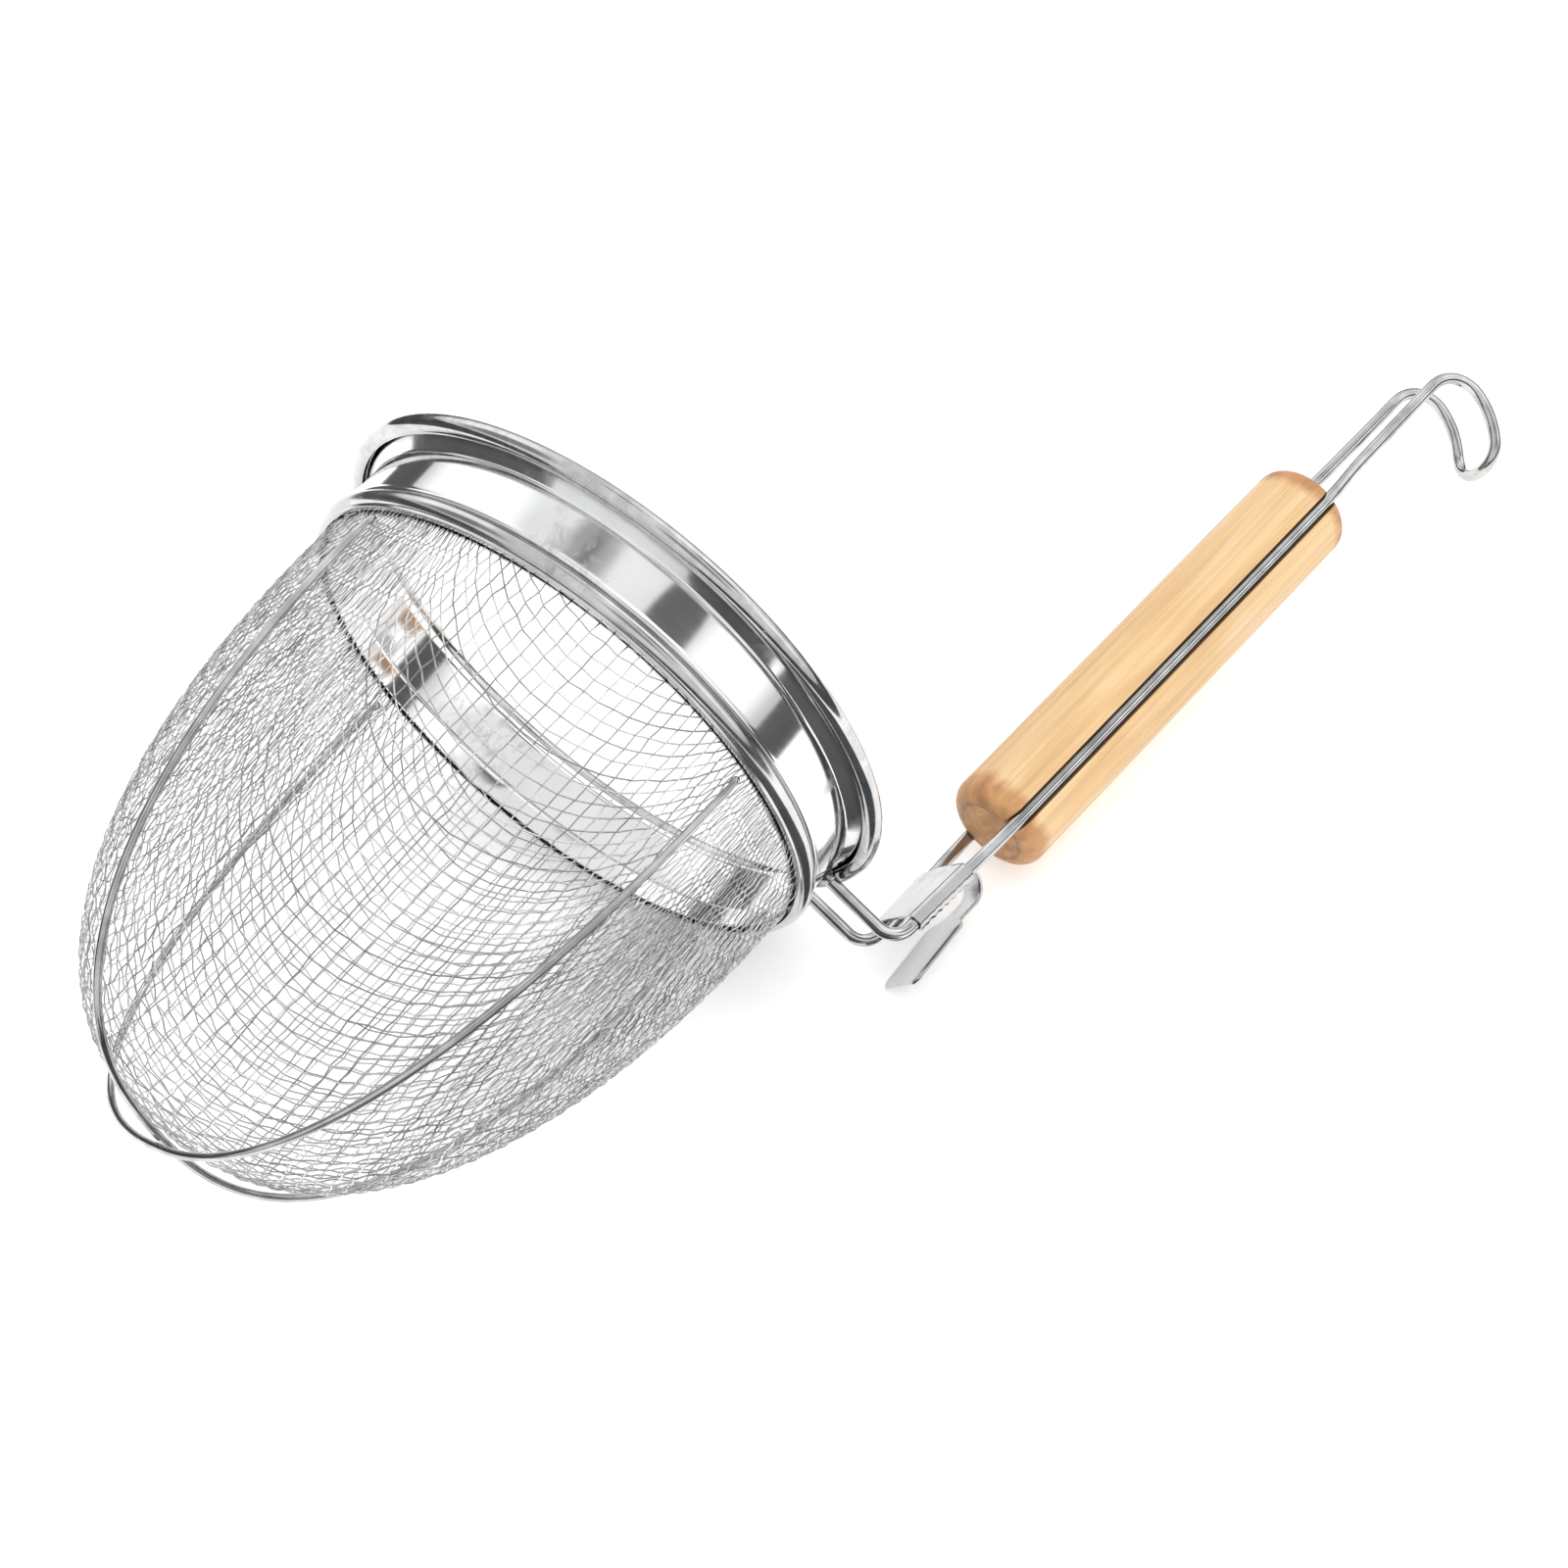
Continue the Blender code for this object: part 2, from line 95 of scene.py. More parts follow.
# the basket
BASKET_RADIUS = 66.75           # middle of the woven cloth
BASKET_DEPTH = 126.1
BASKET_SKIN_RADIUS = 67.2       # outside of the CAD model's skin
BASKET_SKIN_DEPTH = 126.5
BASKET_ROUND = (2.44, 2.27)     # powers of the basket's profile, across and down
BASKET_LEAN = -6.5              # the bottom's shift along X, away from the handle
WEAVE_TOP = -18.2               # where the cloth is cut, inside the clamp ring
WEAVE_PITCH = 3.65
WEAVE_WIRE = 0.18               # radius of the cloth's wires
WEAVE_SIDES = 6
WEAVE_TURN = -12.3              # degrees from the handle to the cloth's first straight wire
WEAVE_REACH = 60                # more wires than ever fit on one side
WEAVE_JITTER = 0.14             # how far a crossing strays from its even place
WEAVE_SLACK = 0.10              # how far a wire strays from its even place
WEAVE_SWAY = (0.21, 0.13)       # how fast that stray turns along a wire, in radians per crossing
WEAVE_CRIMP = 1.7               # how far the cloth's wires wave, as a share of their radius
WEAVE_SHARES = (0.0, 1.0 / 3.0, 2.0 / 3.0)
WEAVE_SHORTEST = 3              # a shorter run of points is left out
WEAVE_SEED = 11
SHARE_STEP = 0.2                # the longest step along a straight wire, as a share of it
HALVINGS = 40
NEWTON_STEPS = 12
NEWTON_CLOSE = 1e-5

# the support wires
LEG_RADIUS = 0.95
LEG_SIDES = 12
LEG_TURN = 22.2                 # degrees from the handle
LEG_START = -24.0
LEG_STAND_OFF = 1.35
LEG_POLE_STAND_OFF = 2.3
LEG_CROSSING = 2.2              # the outer support wire passes this much further out
LEG_POINTS = 60
END_SCALE = 0.75                # a support wire's end is ground to this share of its radius

# the handle's wire, placed by distances along the handle's line
HANDLE_RADIUS = 1.6
HANDLE_SIDES = 24
HANDLE_TILT = math.radians(6.2)
HANDLE_FOOT = (92.7, -2.0)
WELD_START = 69.3
WELD_HEIGHT = -4.2
WELD_RUN = 3.0                  # the foot's straight length past the weld's start
FOOT_BEND = 6.2
FOOT_BEND_POINTS = 14
# distance along the handle and half the distance between its wires
WIRE_SPREAD = (
    (4.0, 7.9), (25.0, 10.1), (39.0, 11.4), (171.0, 11.4), (184.0, 8.6), (205.0, 7.9),
)
SPREAD_ROUND = 5.0
HOOK_START = 219.0
HOOK_LEAD = 1.0                 # the spread ends this far before the hook
HOOK_BENDS = ((10.5, 100.0), (20.0, 136.0))     # radius, and heading in degrees at its end
HOOK_HALF = 7.9
HOOK_STEP = 5.0                 # degrees between the hook's points
HOOK_TIP_POINTS = 10

# the wooden grip
GRIP_RADIUS = 13.0
GRIP_SPAN = (39.5, 170.5)
GRIP_ROUNDING = 4.5
GRIP_ROUNDING_POINTS = 9
GRIP_SHARES = (0.75, 0.5, 0.25, 0.0, -0.25, -0.5, -0.75)
GRIP_STEPS = 128
GRIP_AXLE = 0.2                 # the lathed ends stop this far from the axis, then are closed
GRIP_SOFT = 0.3                 # bevel on the grooves' edges
GROOVE_RADIUS = 1.95
GROOVE_SIDES = 32
GROOVE_OPEN = 4.0
GROOVE_OPEN_FROM = 0.2          # the cutter opens outward above this share of its radius
GROOVE_SPARE = 20.0

# the clip
CLIP_SHEET = 0.6
CLIP_SPAN = (5.0, 23.0)
CLIP_BORE = 1.88
SLEEVE_CURL = (-100.0, 280.0)   # first angle and sweep of a rolled edge, in degrees
SLEEVE_POINTS = 28
SLEEVE_STEPS = 56
CRIMP_DEPTH = 0.34
CRIMP_PITCH = 2.3
CRIMP_POWER = 0.6
CRIMP_FADE = 0.4                # how fast the crimps start at the sleeve's ends, per millimetre
CRIMP_AT = (15.0, 42.0)         # middle and reach of the crimp round the wire, in degrees
TONGUE_SHEET = 0.66
TONGUE_SOFT = 0.16
TONGUE_ROOT = 3.0               # the strip starts this far below the sleeve's top
TONGUE_BEND = 5.4
TONGUE_BEND_POINTS = 26
TONGUE_BEND_DROP = 0.8
TONGUE_BEND_END = 0.5
TONGUE_NECK = 4.3
TONGUE_BLADE = 8.6
TONGUE_SHOULDER = 15.5
TONGUE_SLOPE = 1.5
TONGUE_ROUND = 1.2
TONGUE_FOOT = -4.8
TONGUE_CORNER = (1.5, 1.6)      # the blade's corners are cut this far up and this far in
TONGUE_FLARE = 1.6
TONGUE_FLARE_POWER = 1.4
TONGUE_SHARES = (-1.0, -0.75, -0.4, 0.0, 0.4, 0.75, 1.0)

# welds: half sizes and the first seed
BRAZE_SIZE = (1.0, 1.0, 1.5)
BRAZE_IN = 0.995                # a braze sits at this share of its wire's end
BRAZE_SEED = 40
FOOT_WELD_SIZE = (1.5, 2.3, 1.9)
FOOT_WELD_OUT = 0.6
FOOT_WELD_SEED = 50
LUMPS = 6
LUMP_RATE = 3.0
LUMP_SWELL = 0.09
LUMP_SHARE = 3.0

# ---- camera and studio, in metres ---------------------------------------------------------
CAMERA_LENS = 67.5              # millimetres, on the sensor below
CAMERA_SENSOR = 36.0
CAMERA_NEAR = 0.01
CAMERA_OFFSET = (-0.3468025, -0.3248869, 0.4783555)
CAMERA_RIGHT = (0.5982019, -0.8008671, -0.0276822)
CAMERA_UP = (0.6048309, 0.4285739, 0.6711961)
# azimuth and elevation in degrees, distance, size, power in watts
KEY_LIGHT = (-120.0, 62.0, 1.6, 1.1, 9.0)
FILL_LIGHT = (10.0, 60.0, 1.8, 1.4, 5.0)
WORLD_STRENGTH = 1.0
FLOOR_REACH = 6.0
FLOOR_GLOW = 0.22
# the dark wall that glossy rays see round the table: azimuth in degrees and height
FLAG_REACH = 0.55
FLAG_WALL = (
    (-172.0, 0.12), (-168.0, 0.20), (-150.0, 0.20), (-130.0, 0.16), (-100.0, 0.14), (-72.0, 0.14),
    (-48.0, 0.14), (-20.0, 0.12), (10.0, 0.12), (40.0, 0.14), (70.0, 0.18), (92.0, 0.24),
    (110.0, 0.27), (130.0, 0.28), (152.0, 0.28), (156.0, 0.06), (176.0, 0.06), (188.0, 0.12),
)
# the corners of the dark card that glossy rays see just above the table
FLAG_CARD = (
    (-0.052, -0.046), (-0.038, -0.12), (-0.16, -0.32),
    (-0.38, -0.30), (-0.34, -0.08), (-0.12, -0.052),
)
FLAG_LIFT = 0.0005
# the grey of the room that glossy rays see, by the height of the ray's direction
ROOM_GREYS = ((0.0, 0.80), (0.10, 0.70), (0.30, 0.95), (1.0, 1.0))
# areas of that room: azimuth, elevation, reach and soft edge in degrees, and the factor on
# its light, which is darker below 1 and brighter above
SCREENS = (
    (-55.5, 49.0, 8.0, 1.5, 0.16),
    (16.0, 70.0, 3.5, 4.0, 0.45),
    (-4.0, 71.0, 3.0, 4.0, 0.45),
    (110.0, 40.0, 14.0, 10.0, 0.35),
    (-120.0, 55.0, 10.0, 8.0, 0.40),
    (-63.0, 23.0, 9.0, 8.0, 1.6),
    (64.0, 32.0, 14.0, 12.0, 1.5),
    (-20.0, 35.0, 12.0, 12.0, 1.5),
)


# ---- mesh and curve helpers ---------------------------------------------------------------
def add_piece(name, data, material, cad_node, at=Matrix()):
    """Link a piece drawn in the strainer's frame, lay it down and tie it to the frame."""
    data.transform(PLACE @ at)
    data.materials.append(material)
    obj = bpy.data.objects.new(name, data)
    bpy.context.scene.collection.objects.link(obj)
    bpy.context.view_layer.update()
    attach(obj, "root")
    if cad_node:
        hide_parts(cad_node)


def smooth(mesh, sharp_degrees=35.0):
    mesh.shade_smooth()
    mesh.set_sharp_from_angle(angle=math.radians(sharp_degrees))


def arc(centre, radius, start, end, count):
    """Points in a plane on an arc between two angles in degrees."""
    turns = [math.radians(start + (end - start) * i / count) for i in range(count + 1)]
    return [(centre[0] + radius * math.cos(t), centre[1] + radius * math.sin(t)) for t in turns]


def fillet(line, radius, count=5):
    """Round the corners of a line in the plane."""
    points = [line[0]]
    for before, corner, after in zip(line, line[1:], line[2:]):
        corner = Vector(corner)
        first = Vector(before) - corner
        second = Vector(after) - corner
        reach = min(radius, 0.45 * first.length, 0.45 * second.length)
        start = corner + first.normalized() * reach
        end = corner + second.normalized() * reach
        for i in range(count + 1):
            t = i / count
            spot = start * (1 - t) ** 2 + corner * 2 * t * (1 - t) + end * t ** 2
            points.append(tuple(spot))
    return points + [line[-1]]


def sheet_outline(line, thickness):
    """The closed outline of a sheet whose middle follows a line in the plane."""
    left, right = [], []
    for i, point in enumerate(line):
        here = Vector(point)
        before = here - Vector(line[i - 1]) if i > 0 else None
        after = Vector(line[i + 1]) - here if i < len(line) - 1 else None
        sides = [s.normalized() for s in (before, after) if s is not None]
        along = sum(sides, Vector((0.0, 0.0))).normalized()
        normal = Vector((-along.y, along.x))
        reach = 0.5 * thickness / max(0.5, along.dot(sides[0]))
        left.append(tuple(here + normal * reach))
        right.append(tuple(here - normal * reach))
    return left + right[::-1]


def lathe(name, outline, steps):
    """Turn a closed outline of (radius, height) about Z."""
    count = len(outline)
    turns = [TAU * i / steps for i in range(steps)]
    points = [
        (radius * math.cos(t) * MM, radius * math.sin(t) * MM, height * MM)
        for t in turns
        for radius, height in outline
    ]
    faces = []
    for i in range(steps):
        here, there = i * count, (i + 1) % steps * count
        for j in range(count):
            k = (j + 1) % count
            faces.append((here + j, there + j, there + k, here + k))
    mesh = bpy.data.meshes.new(name)
    mesh.from_pydata(points, [], faces)
    shape = bmesh.new()
    shape.from_mesh(mesh)
    bmesh.ops.recalc_face_normals(shape, faces=shape.faces)
    shape.to_mesh(mesh)
    shape.free()
    smooth(mesh)
    return mesh


def wires(name, lines, radius, sides):
    """Round wires along lines in millimetres; a point's fourth value, if any, is its scale."""
    curve = bpy.data.curves.new(name, "CURVE")
    curve.dimensions = "3D"
    curve.bevel_depth = radius * MM
    curve.bevel_resolution = sides // 2 - 2
    curve.use_fill_caps = True
    curve.resolution_u = 1
    for line in lines:
        spline = curve.splines.new("POLY")
        spline.points.add(len(line) - 1)
        for slot, point in zip(spline.points, line):
            slot.co = (point[0] * MM, point[1] * MM, point[2] * MM, 1.0)
            slot.radius = point[3] if len(point) > 3 else 1.0
        spline.use_smooth = True
    return curve


# ---- node materials -----------------------------------------------------------------------
class Nodes:
    """Adds and links shader nodes, which measure in the frame of the piece they colour."""

    def __init__(self, name, at=Matrix()):
        self.material = bpy.data.materials.new(name)
        self.material.use_nodes = True
        self.tree = self.material.node_tree
        self.shader = self.tree.nodes["Principled BSDF"]
        back = (PLACE @ at).inverted()
        stood = self.add(
            "ShaderNodeMapping", Location=back.to_translation(), Rotation=back.to_euler(),
        )
        self.link(self.add("ShaderNodeTexCoord").outputs["Object"], stood.inputs["Vector"])
        self.place = stood.outputs["Vector"]

    def add(self, kind, **values):
        node = self.tree.nodes.new(kind)
        for key, value in values.items():
            if key in node.inputs:
                node.inputs[key].default_value = value
            else:
                setattr(node, key, value)
        return node

    def link(self, source, target):
        self.tree.links.new(source, target)

    def stretched(self, scale):
        """Object coordinates scaled by three factors, in cycles per metre."""
        node = self.add("ShaderNodeMapping", Scale=scale)
        self.link(self.place, node.inputs["Vector"])
        return node.outputs["Vector"]

    def noise(self, scale, detail=3.0, roughness=0.5, distortion=0.0):
        node = self.add(
            "ShaderNodeTexNoise", Detail=detail, Roughness=roughness, Distortion=distortion,
        )
        node.inputs["Scale"].default_value = 1.0
        self.link(self.stretched(scale), node.inputs["Vector"])
        return node.outputs["Fac"]

    def ramp(self, source, stops):
        """Colours along a value; each stop is (position, colour or grey)."""
        node = self.add("ShaderNodeValToRGB")
        elements = node.color_ramp.elements
        while len(elements) < len(stops):
            elements.new(0.5)
        for element, (position, colour) in zip(elements, stops):
            element.position = position
            if isinstance(colour, float):
                colour = (colour, colour, colour)
            element.color = (*colour, 1.0)
        self.link(source, node.inputs["Fac"])
        return node.outputs["Color"]

    def feed(self, sockets, values):
        """Link each value that is a socket, and set each that is a number or colour."""
        for socket, value in zip(sockets, values):
            if hasattr(value, "links"):
                self.link(value, socket)
            else:
                socket.default_value = value

    def mix(self, factor, first, second, blend="MIX"):
        node = self.add("ShaderNodeMix", data_type="RGBA", blend_type=blend)
        self.feed((node.inputs[0], node.inputs[6], node.inputs[7]), (factor, first, second))
        return node.outputs[2]

    def math(self, operation, first, second=0.0):
        node = self.add("ShaderNodeMath", operation=operation)
        self.feed(node.inputs[:2], (first, second))
        return node.outputs[0]

    def times(self, *factors):
        product = factors[0]
        for factor in factors[1:]:
            product = self.math("MULTIPLY", product, factor)
        return product

    def axes(self):
        node = self.add("ShaderNodeSeparateXYZ")
        self.link(self.place, node.inputs[0])
        return node.outputs

    def from_axis(self, parts):
        """Distance from the Z axis."""
        squares = [self.math("POWER", parts[k], 2.0) for k in ("X", "Y")]
        return self.math("SQRT", self.math("ADD", *squares))

    def bump(self, height, distance, strength=1.0):
        node = self.add("ShaderNodeBump", Distance=distance, Strength=strength)
        self.link(height, node.inputs["Height"])
        self.link(node.outputs["Normal"], self.shader.inputs["Normal"])


def steel(name, light, dark, rough, grain, grain_depth, smudge, stain, painted_shade_radius=0.0):
    """Stainless steel: fine lines along `grain`, smudges, stains, and painted shade outside a
    radius.
    """
    n = Nodes(name)
    n.shader.inputs["Metallic"].default_value = 1.0
    patches = n.noise((smudge, smudge, smudge), detail=4.0)
    lines = n.noise(grain, detail=5.0, roughness=0.65)
    colour = n.ramp(patches, ((0.35, dark), (0.65, light)))
    spots = n.noise((230.0, 230.0, 150.0), detail=6.0, roughness=0.62, distortion=0.5)
    where = n.noise((26.0, 26.0, 26.0), detail=2.0)
    marks = n.times(
        n.ramp(spots, ((0.50, 0.0), (0.66, 1.0))),
        n.ramp(where, ((0.45, 0.0), (0.6, 1.0))),
    )
    colour = n.mix(n.times(marks, stain), colour, (0.24, 0.245, 0.25, 1.0))
    # painted shade: past this radius, on the rolled edge, the colour turns a darker mottled grey
    if painted_shade_radius:
        share = n.math("DIVIDE", n.from_axis(n.axes()), painted_shade_radius * MM)
        painted_shade = n.times(n.ramp(share, ((0.990, 0.0), (1.0, 1.0))), 0.85)
        mottled = n.ramp(spots, ((0.35, (0.42, 0.425, 0.43)), (0.62, (0.62, 0.625, 0.63))))
        colour = n.mix(painted_shade, colour, mottled)
    n.link(colour, n.shader.inputs["Base Color"])
    worn = n.mix(0.5, patches, lines)
    gloss = n.ramp(worn, ((0.3, rough[0]), (0.7, rough[1])))
    rougher = n.math("ADD", gloss, n.times(marks, 0.5 * stain))
    n.link(rougher, n.shader.inputs["Roughness"])
    n.bump(lines, grain_depth * MM)
    return n.material


def woven_steel(name):
    """The cloth's wires: each one has its own tone."""
    n = Nodes(name)
    n.shader.inputs["Metallic"].default_value = 1.0
    island = n.add("ShaderNodeNewGeometry").outputs["Random Per Island"]
    patches = n.noise((90.0, 90.0, 90.0), detail=3.0)
    tone = n.mix(0.4, patches, island)
    colour = n.ramp(tone, ((0.25, (0.32, 0.325, 0.33)), (0.75, (0.90, 0.905, 0.91))))
    n.link(colour, n.shader.inputs["Base Color"])
    gloss = n.ramp(n.noise((700.0, 700.0, 700.0)), ((0.3, 0.10), (0.7, 0.24)))
    n.link(gloss, n.shader.inputs["Roughness"])
    return n.material


def maple(name):
    """Light sanded maple, with darker burnished ends and end grain, and painted shade in the
    grooves along the wires.
    """
    n = Nodes(name, on_handle(sum(GRIP_SPAN) / 2))
    half = 0.5 * (GRIP_SPAN[1] - GRIP_SPAN[0]) * MM
    fibres = n.noise((900.0, 900.0, 14.0), detail=6.0, roughness=0.6)
    figure = n.noise((120.0, 120.0, 22.0), detail=3.0, distortion=0.6)
    body = n.ramp(figure, (
        (0.3, (0.68, 0.43, 0.20)), (0.5, (0.76, 0.51, 0.26)), (0.72, (0.80, 0.57, 0.33)),
    ))
    streaks = n.ramp(fibres, ((0.35, 0.66), (0.62, 1.0)))
    body = n.mix(0.55, body, n.mix(1.0, body, streaks, "MULTIPLY"))
    parts = n.axes()
    along = n.math("ABSOLUTE", parts["Z"])
    wander = n.times(n.noise((160.0, 160.0, 60.0), detail=4.0), 9.0 * MM)
    share = n.math("DIVIDE", n.math("ADD", along, wander), half)
    burnt = n.ramp(share, ((0.955, 0.0), (1.035, 1.0)))
    rings = n.noise((260.0, 260.0, 60.0), detail=6.0, distortion=0.3)
    ends = n.ramp(rings, (
        (0.3, (0.30, 0.12, 0.04)), (0.55, (0.48, 0.22, 0.08)), (0.75, (0.62, 0.33, 0.13)),
    ))
    body = n.mix(n.times(burnt, 0.85), body, ends)
    share = n.math("DIVIDE", n.from_axis(parts), GRIP_RADIUS * MM)
    turned_line = n.ramp(share, ((0.60, 0.0), (0.66, 1.0), (0.72, 0.0)))
    face = n.math("GREATER_THAN", along, half - 0.25 * GRIP_ROUNDING * MM)
    body = n.mix(n.times(turned_line, face, 0.55), body, (0.22, 0.09, 0.03, 1.0))
    # painted shade: the groove's walls next to each wire are darkened to a near-black brown
    groove_shade = n.math("LESS_THAN", n.math("ABSOLUTE", parts["X"]), 1.03 * GROOVE_RADIUS * MM)
    outer = n.math("GREATER_THAN", n.math("ABSOLUTE", parts["Y"]), 0.7 * GRIP_RADIUS * MM)
    body = n.mix(n.times(groove_shade, outer, 0.8), body, (0.13, 0.075, 0.045, 1.0))
    n.link(body, n.shader.inputs["Base Color"])
    gloss = n.ramp(fibres, ((0.3, 0.62), (0.7, 0.46)))
    n.link(gloss, n.shader.inputs["Roughness"])
    n.shader.inputs["Coat Weight"].default_value = 0.12
    n.shader.inputs["Coat Roughness"].default_value = 0.35
    n.bump(fibres, 0.12 * MM, 0.6)
    return n.material


# ---- rim ----------------------------------------------------------------------------------
def rim_band(material):
    """Skirt, band, flange and rolled edge, drawn from one sheet."""
    roll = arc((BEAD_CENTRE, 0.0), BEAD_OUTER - SHEET / 2, *BEAD_ROLL, BEAD_POINTS)
    line = fillet([
        (SKIRT_RADIUS, SKIRT_FOOT),
        (SKIRT_RADIUS, BAND_FOOT[1] - SKIRT_TOP_DROP),
        (BAND_FOOT[0] + BAND_RIB, BAND_FOOT[1] + BAND_RIB_LIFT),
        (BAND_FOOT[0], BAND_FOOT[1] + BAND_RIB_REACH),
        BAND_TOP,
        roll[0],
    ], FOLD_RADIUS) + roll[1:]
    mesh = lathe("rim_sheet", sheet_outline(line, SHEET), RIM_STEPS)
    add_piece("rim_sheet", mesh, material, "rim_band")


def clamp_ring(material):
    """Half-round ring with a flat lip along its lower edge."""
    out, lift = CLAMP_CROWN
    crown = arc(
        (CLAMP_BORE + out, CLAMP_HEIGHT + lift), CLAMP_HALF - lift,
        *CLAMP_CROWN_ARC, CLAMP_CROWN_POINTS,
    )
    foot = CLAMP_HEIGHT - CLAMP_HALF
    edge = CLAMP_BORE + CLAMP_LIP_WIDTH
    lip = [(edge, foot + CLAMP_LIP), (edge, foot), (CLAMP_BORE, foot)]
    outline = [(CLAMP_BORE, CLAMP_HEIGHT + CLAMP_HALF)] + crown + fillet(lip, CLAMP_LIP_ROUND, 3)
    mesh = lathe("clamp_hoop", outline, RIM_STEPS)
    add_piece("clamp_hoop", mesh, material, "mesh_clamp_ring")


# ---- woven cloth --------------------------------------------------------------------------
def cloth_lean(height):
    return BASKET_LEAN * (CLAMP_HEIGHT - height) / BASKET_DEPTH


def cloth_value(spot):
    """Zero on the middle of the cloth, and its gradient."""
    x = spot[0] - cloth_lean(spot[2])
    y = spot[1]
    bulge, fall = BASKET_ROUND
    across = max(1e-6, math.hypot(x, y) / BASKET_RADIUS)
    down = max(0.0, (CLAMP_HEIGHT - spot[2]) / BASKET_DEPTH)
    slope = bulge * across ** (bulge - 2.0) / BASKET_RADIUS ** 2
    fall_slope = -fall * down ** (fall - 1.0) / BASKET_DEPTH
    lean_slope = BASKET_LEAN / BASKET_DEPTH
    gradient = np.array([slope * x, slope * y, fall_slope + slope * x * lean_slope])
    return across ** bulge + down ** fall - 1.0, gradient


def meridian(turn, share):
    """A point on the cloth: share 0 is its bottom, 1 the clamp ring, and past 1 above it."""
    bulge, fall = BASKET_ROUND
    if share <= 1.0:
        down = math.cos(0.5 * math.pi * share)
    else:
        down = 1.0 - share
    across = BASKET_RADIUS * max(0.0, 1.0 - max(0.0, down) ** fall) ** (1.0 / bulge)
    height = CLAMP_HEIGHT - BASKET_DEPTH * down
    return np.array([cloth_lean(height) + across * math.cos(turn), across * math.sin(turn), height])


def straight_wire(turn):
    """Crossings every pitch along the cloth's straight wire, from the bottom to the mouth."""
    spots = [meridian(turn, 0.0)]
    share = 0.0
    while spots[-1][2] < WEAVE_TOP + WEAVE_PITCH:
        low, high = share, share + SHARE_STEP
        for _ in range(HALVINGS):
            middle = 0.5 * (low + high)
            if np.linalg.norm(meridian(turn, middle) - spots[-1]) < WEAVE_PITCH:
                low = middle
            else:
                high = middle
        share = high
        spots.append(meridian(turn, share))
    return spots


def next_crossing(left, right, behind):
    """The point on the cloth one pitch from two neighbouring crossings."""
    spot = left + right - behind
    for _ in range(NEWTON_STEPS):
        value, gradient = cloth_value(spot)
        to_left, to_right = spot - left, spot - right
        rows = np.array([2.0 * to_left, 2.0 * to_right, gradient])
        gaps = np.array([
            to_left @ to_left - WEAVE_PITCH ** 2,
            to_right @ to_right - WEAVE_PITCH ** 2,
            value,
        ])
        step = np.linalg.solve(rows, gaps)
        spot = spot - step
        if abs(step).max() < NEWTON_CLOSE:
            break
    return spot


def weave_crossings():
    """The crossings of the whole cloth, as a dictionary from (i, j) to a point."""
    spots = {}
    for k, (across, along) in enumerate(((1, 0), (0, 1), (-1, 0), (0, -1))):
        arm = straight_wire(math.radians(WEAVE_TURN + 90.0 * k))
        for step, spot in enumerate(arm):
            spots[(across * step, along * step)] = spot
    for side, other in ((1, 1), (-1, 1), (-1, -1), (1, -1)):
        for i in range(1, WEAVE_REACH):
            for j in range(1, WEAVE_REACH):
                left = spots.get((side * (i - 1), other * j))
                right = spots.get((side * i, other * (j - 1)))
                behind = spots.get((side * (i - 1), other * (j - 1)))
                if left is None or right is None or behind is None:
                    continue
                if min(left[2], right[2]) > WEAVE_TOP:
                    continue
                spots[(side * i, other * j)] = next_crossing(left, right, behind)
    scatter = np.random.default_rng(WEAVE_SEED)
    for key in sorted(spots):
        _, gradient = cloth_value(spots[key])
        normal = gradient / np.linalg.norm(gradient)
        stray = scatter.normal(0.0, WEAVE_JITTER, 3)
        spots[key] = spots[key] + stray - normal * (normal @ stray)
    return spots


def cloth_wires(spots, along_first, phase):
    """The cloth's wires in one direction, each a line that passes over and under the others."""
    strands = {}
    for (i, j), spot in spots.items():
        row, place = (j, i) if along_first else (i, j)
        strands.setdefault(row, []).append((place, (i + j) % 2, spot))
    lines = []
    scatter = np.random.default_rng(WEAVE_SEED + phase)
    for row in sorted(strands):
        stations = sorted(strands[row], key=lambda station: station[0])
        runs = [[stations[0]]]
        for station in stations[1:]:
            if station[0] == runs[-1][-1][0] + 1:
                runs[-1].append(station)
            else:
                runs.append([station])
        stray = scatter.normal(0.0, WEAVE_SLACK, 2)
        for run in runs:
            lines += woven_line(run, phase, stray)
    return [line for line in lines if len(line) > WEAVE_SHORTEST]


def woven_line(run, phase, stray):
    """Pieces of one wire below the cut edge, waved over and under the wires it crosses."""
    lifted = []
    for place, parity, spot in run:
        _, gradient = cloth_value(spot)
        normal = gradient / np.linalg.norm(gradient)
        side = 1.0 if parity == phase else -1.0
        lifted.append((spot, normal, side * WEAVE_WIRE * WEAVE_CRIMP, place))
    pieces, line = [], []
    for (a, normal_a, lift_a, place), (b, normal_b, lift_b, _) in zip(lifted, lifted[1:]):
        along = (b - a) / np.linalg.norm(b - a)
        for share in WEAVE_SHARES:
            spot = a + (b - a) * share
            normal = normal_a * (1.0 - share) + normal_b * share
            wave = 0.5 * (1.0 + math.cos(math.pi * share))
            lift = lift_a * wave + lift_b * (1.0 - wave)
            at = place + share
            sway = (
                stray[0] * math.sin(WEAVE_SWAY[0] * at)
                + stray[1] * math.cos(WEAVE_SWAY[1] * at)
            )
            spot = spot + normal * lift + np.cross(normal, along) * sway
            if spot[2] < WEAVE_TOP:
                line.append(tuple(spot))
            elif line:
                pieces.append(line)
                line = []
    if line:
        pieces.append(line)
    return pieces


def woven_basket(material):
    spots = weave_crossings()
    for name, along_first, phase in (("mesh_warp", True, 0), ("mesh_weft", False, 1)):
        curve = wires(name, cloth_wires(spots, along_first, phase), WEAVE_WIRE, WEAVE_SIDES)
        add_piece(name, curve, material, "mesh_basket")


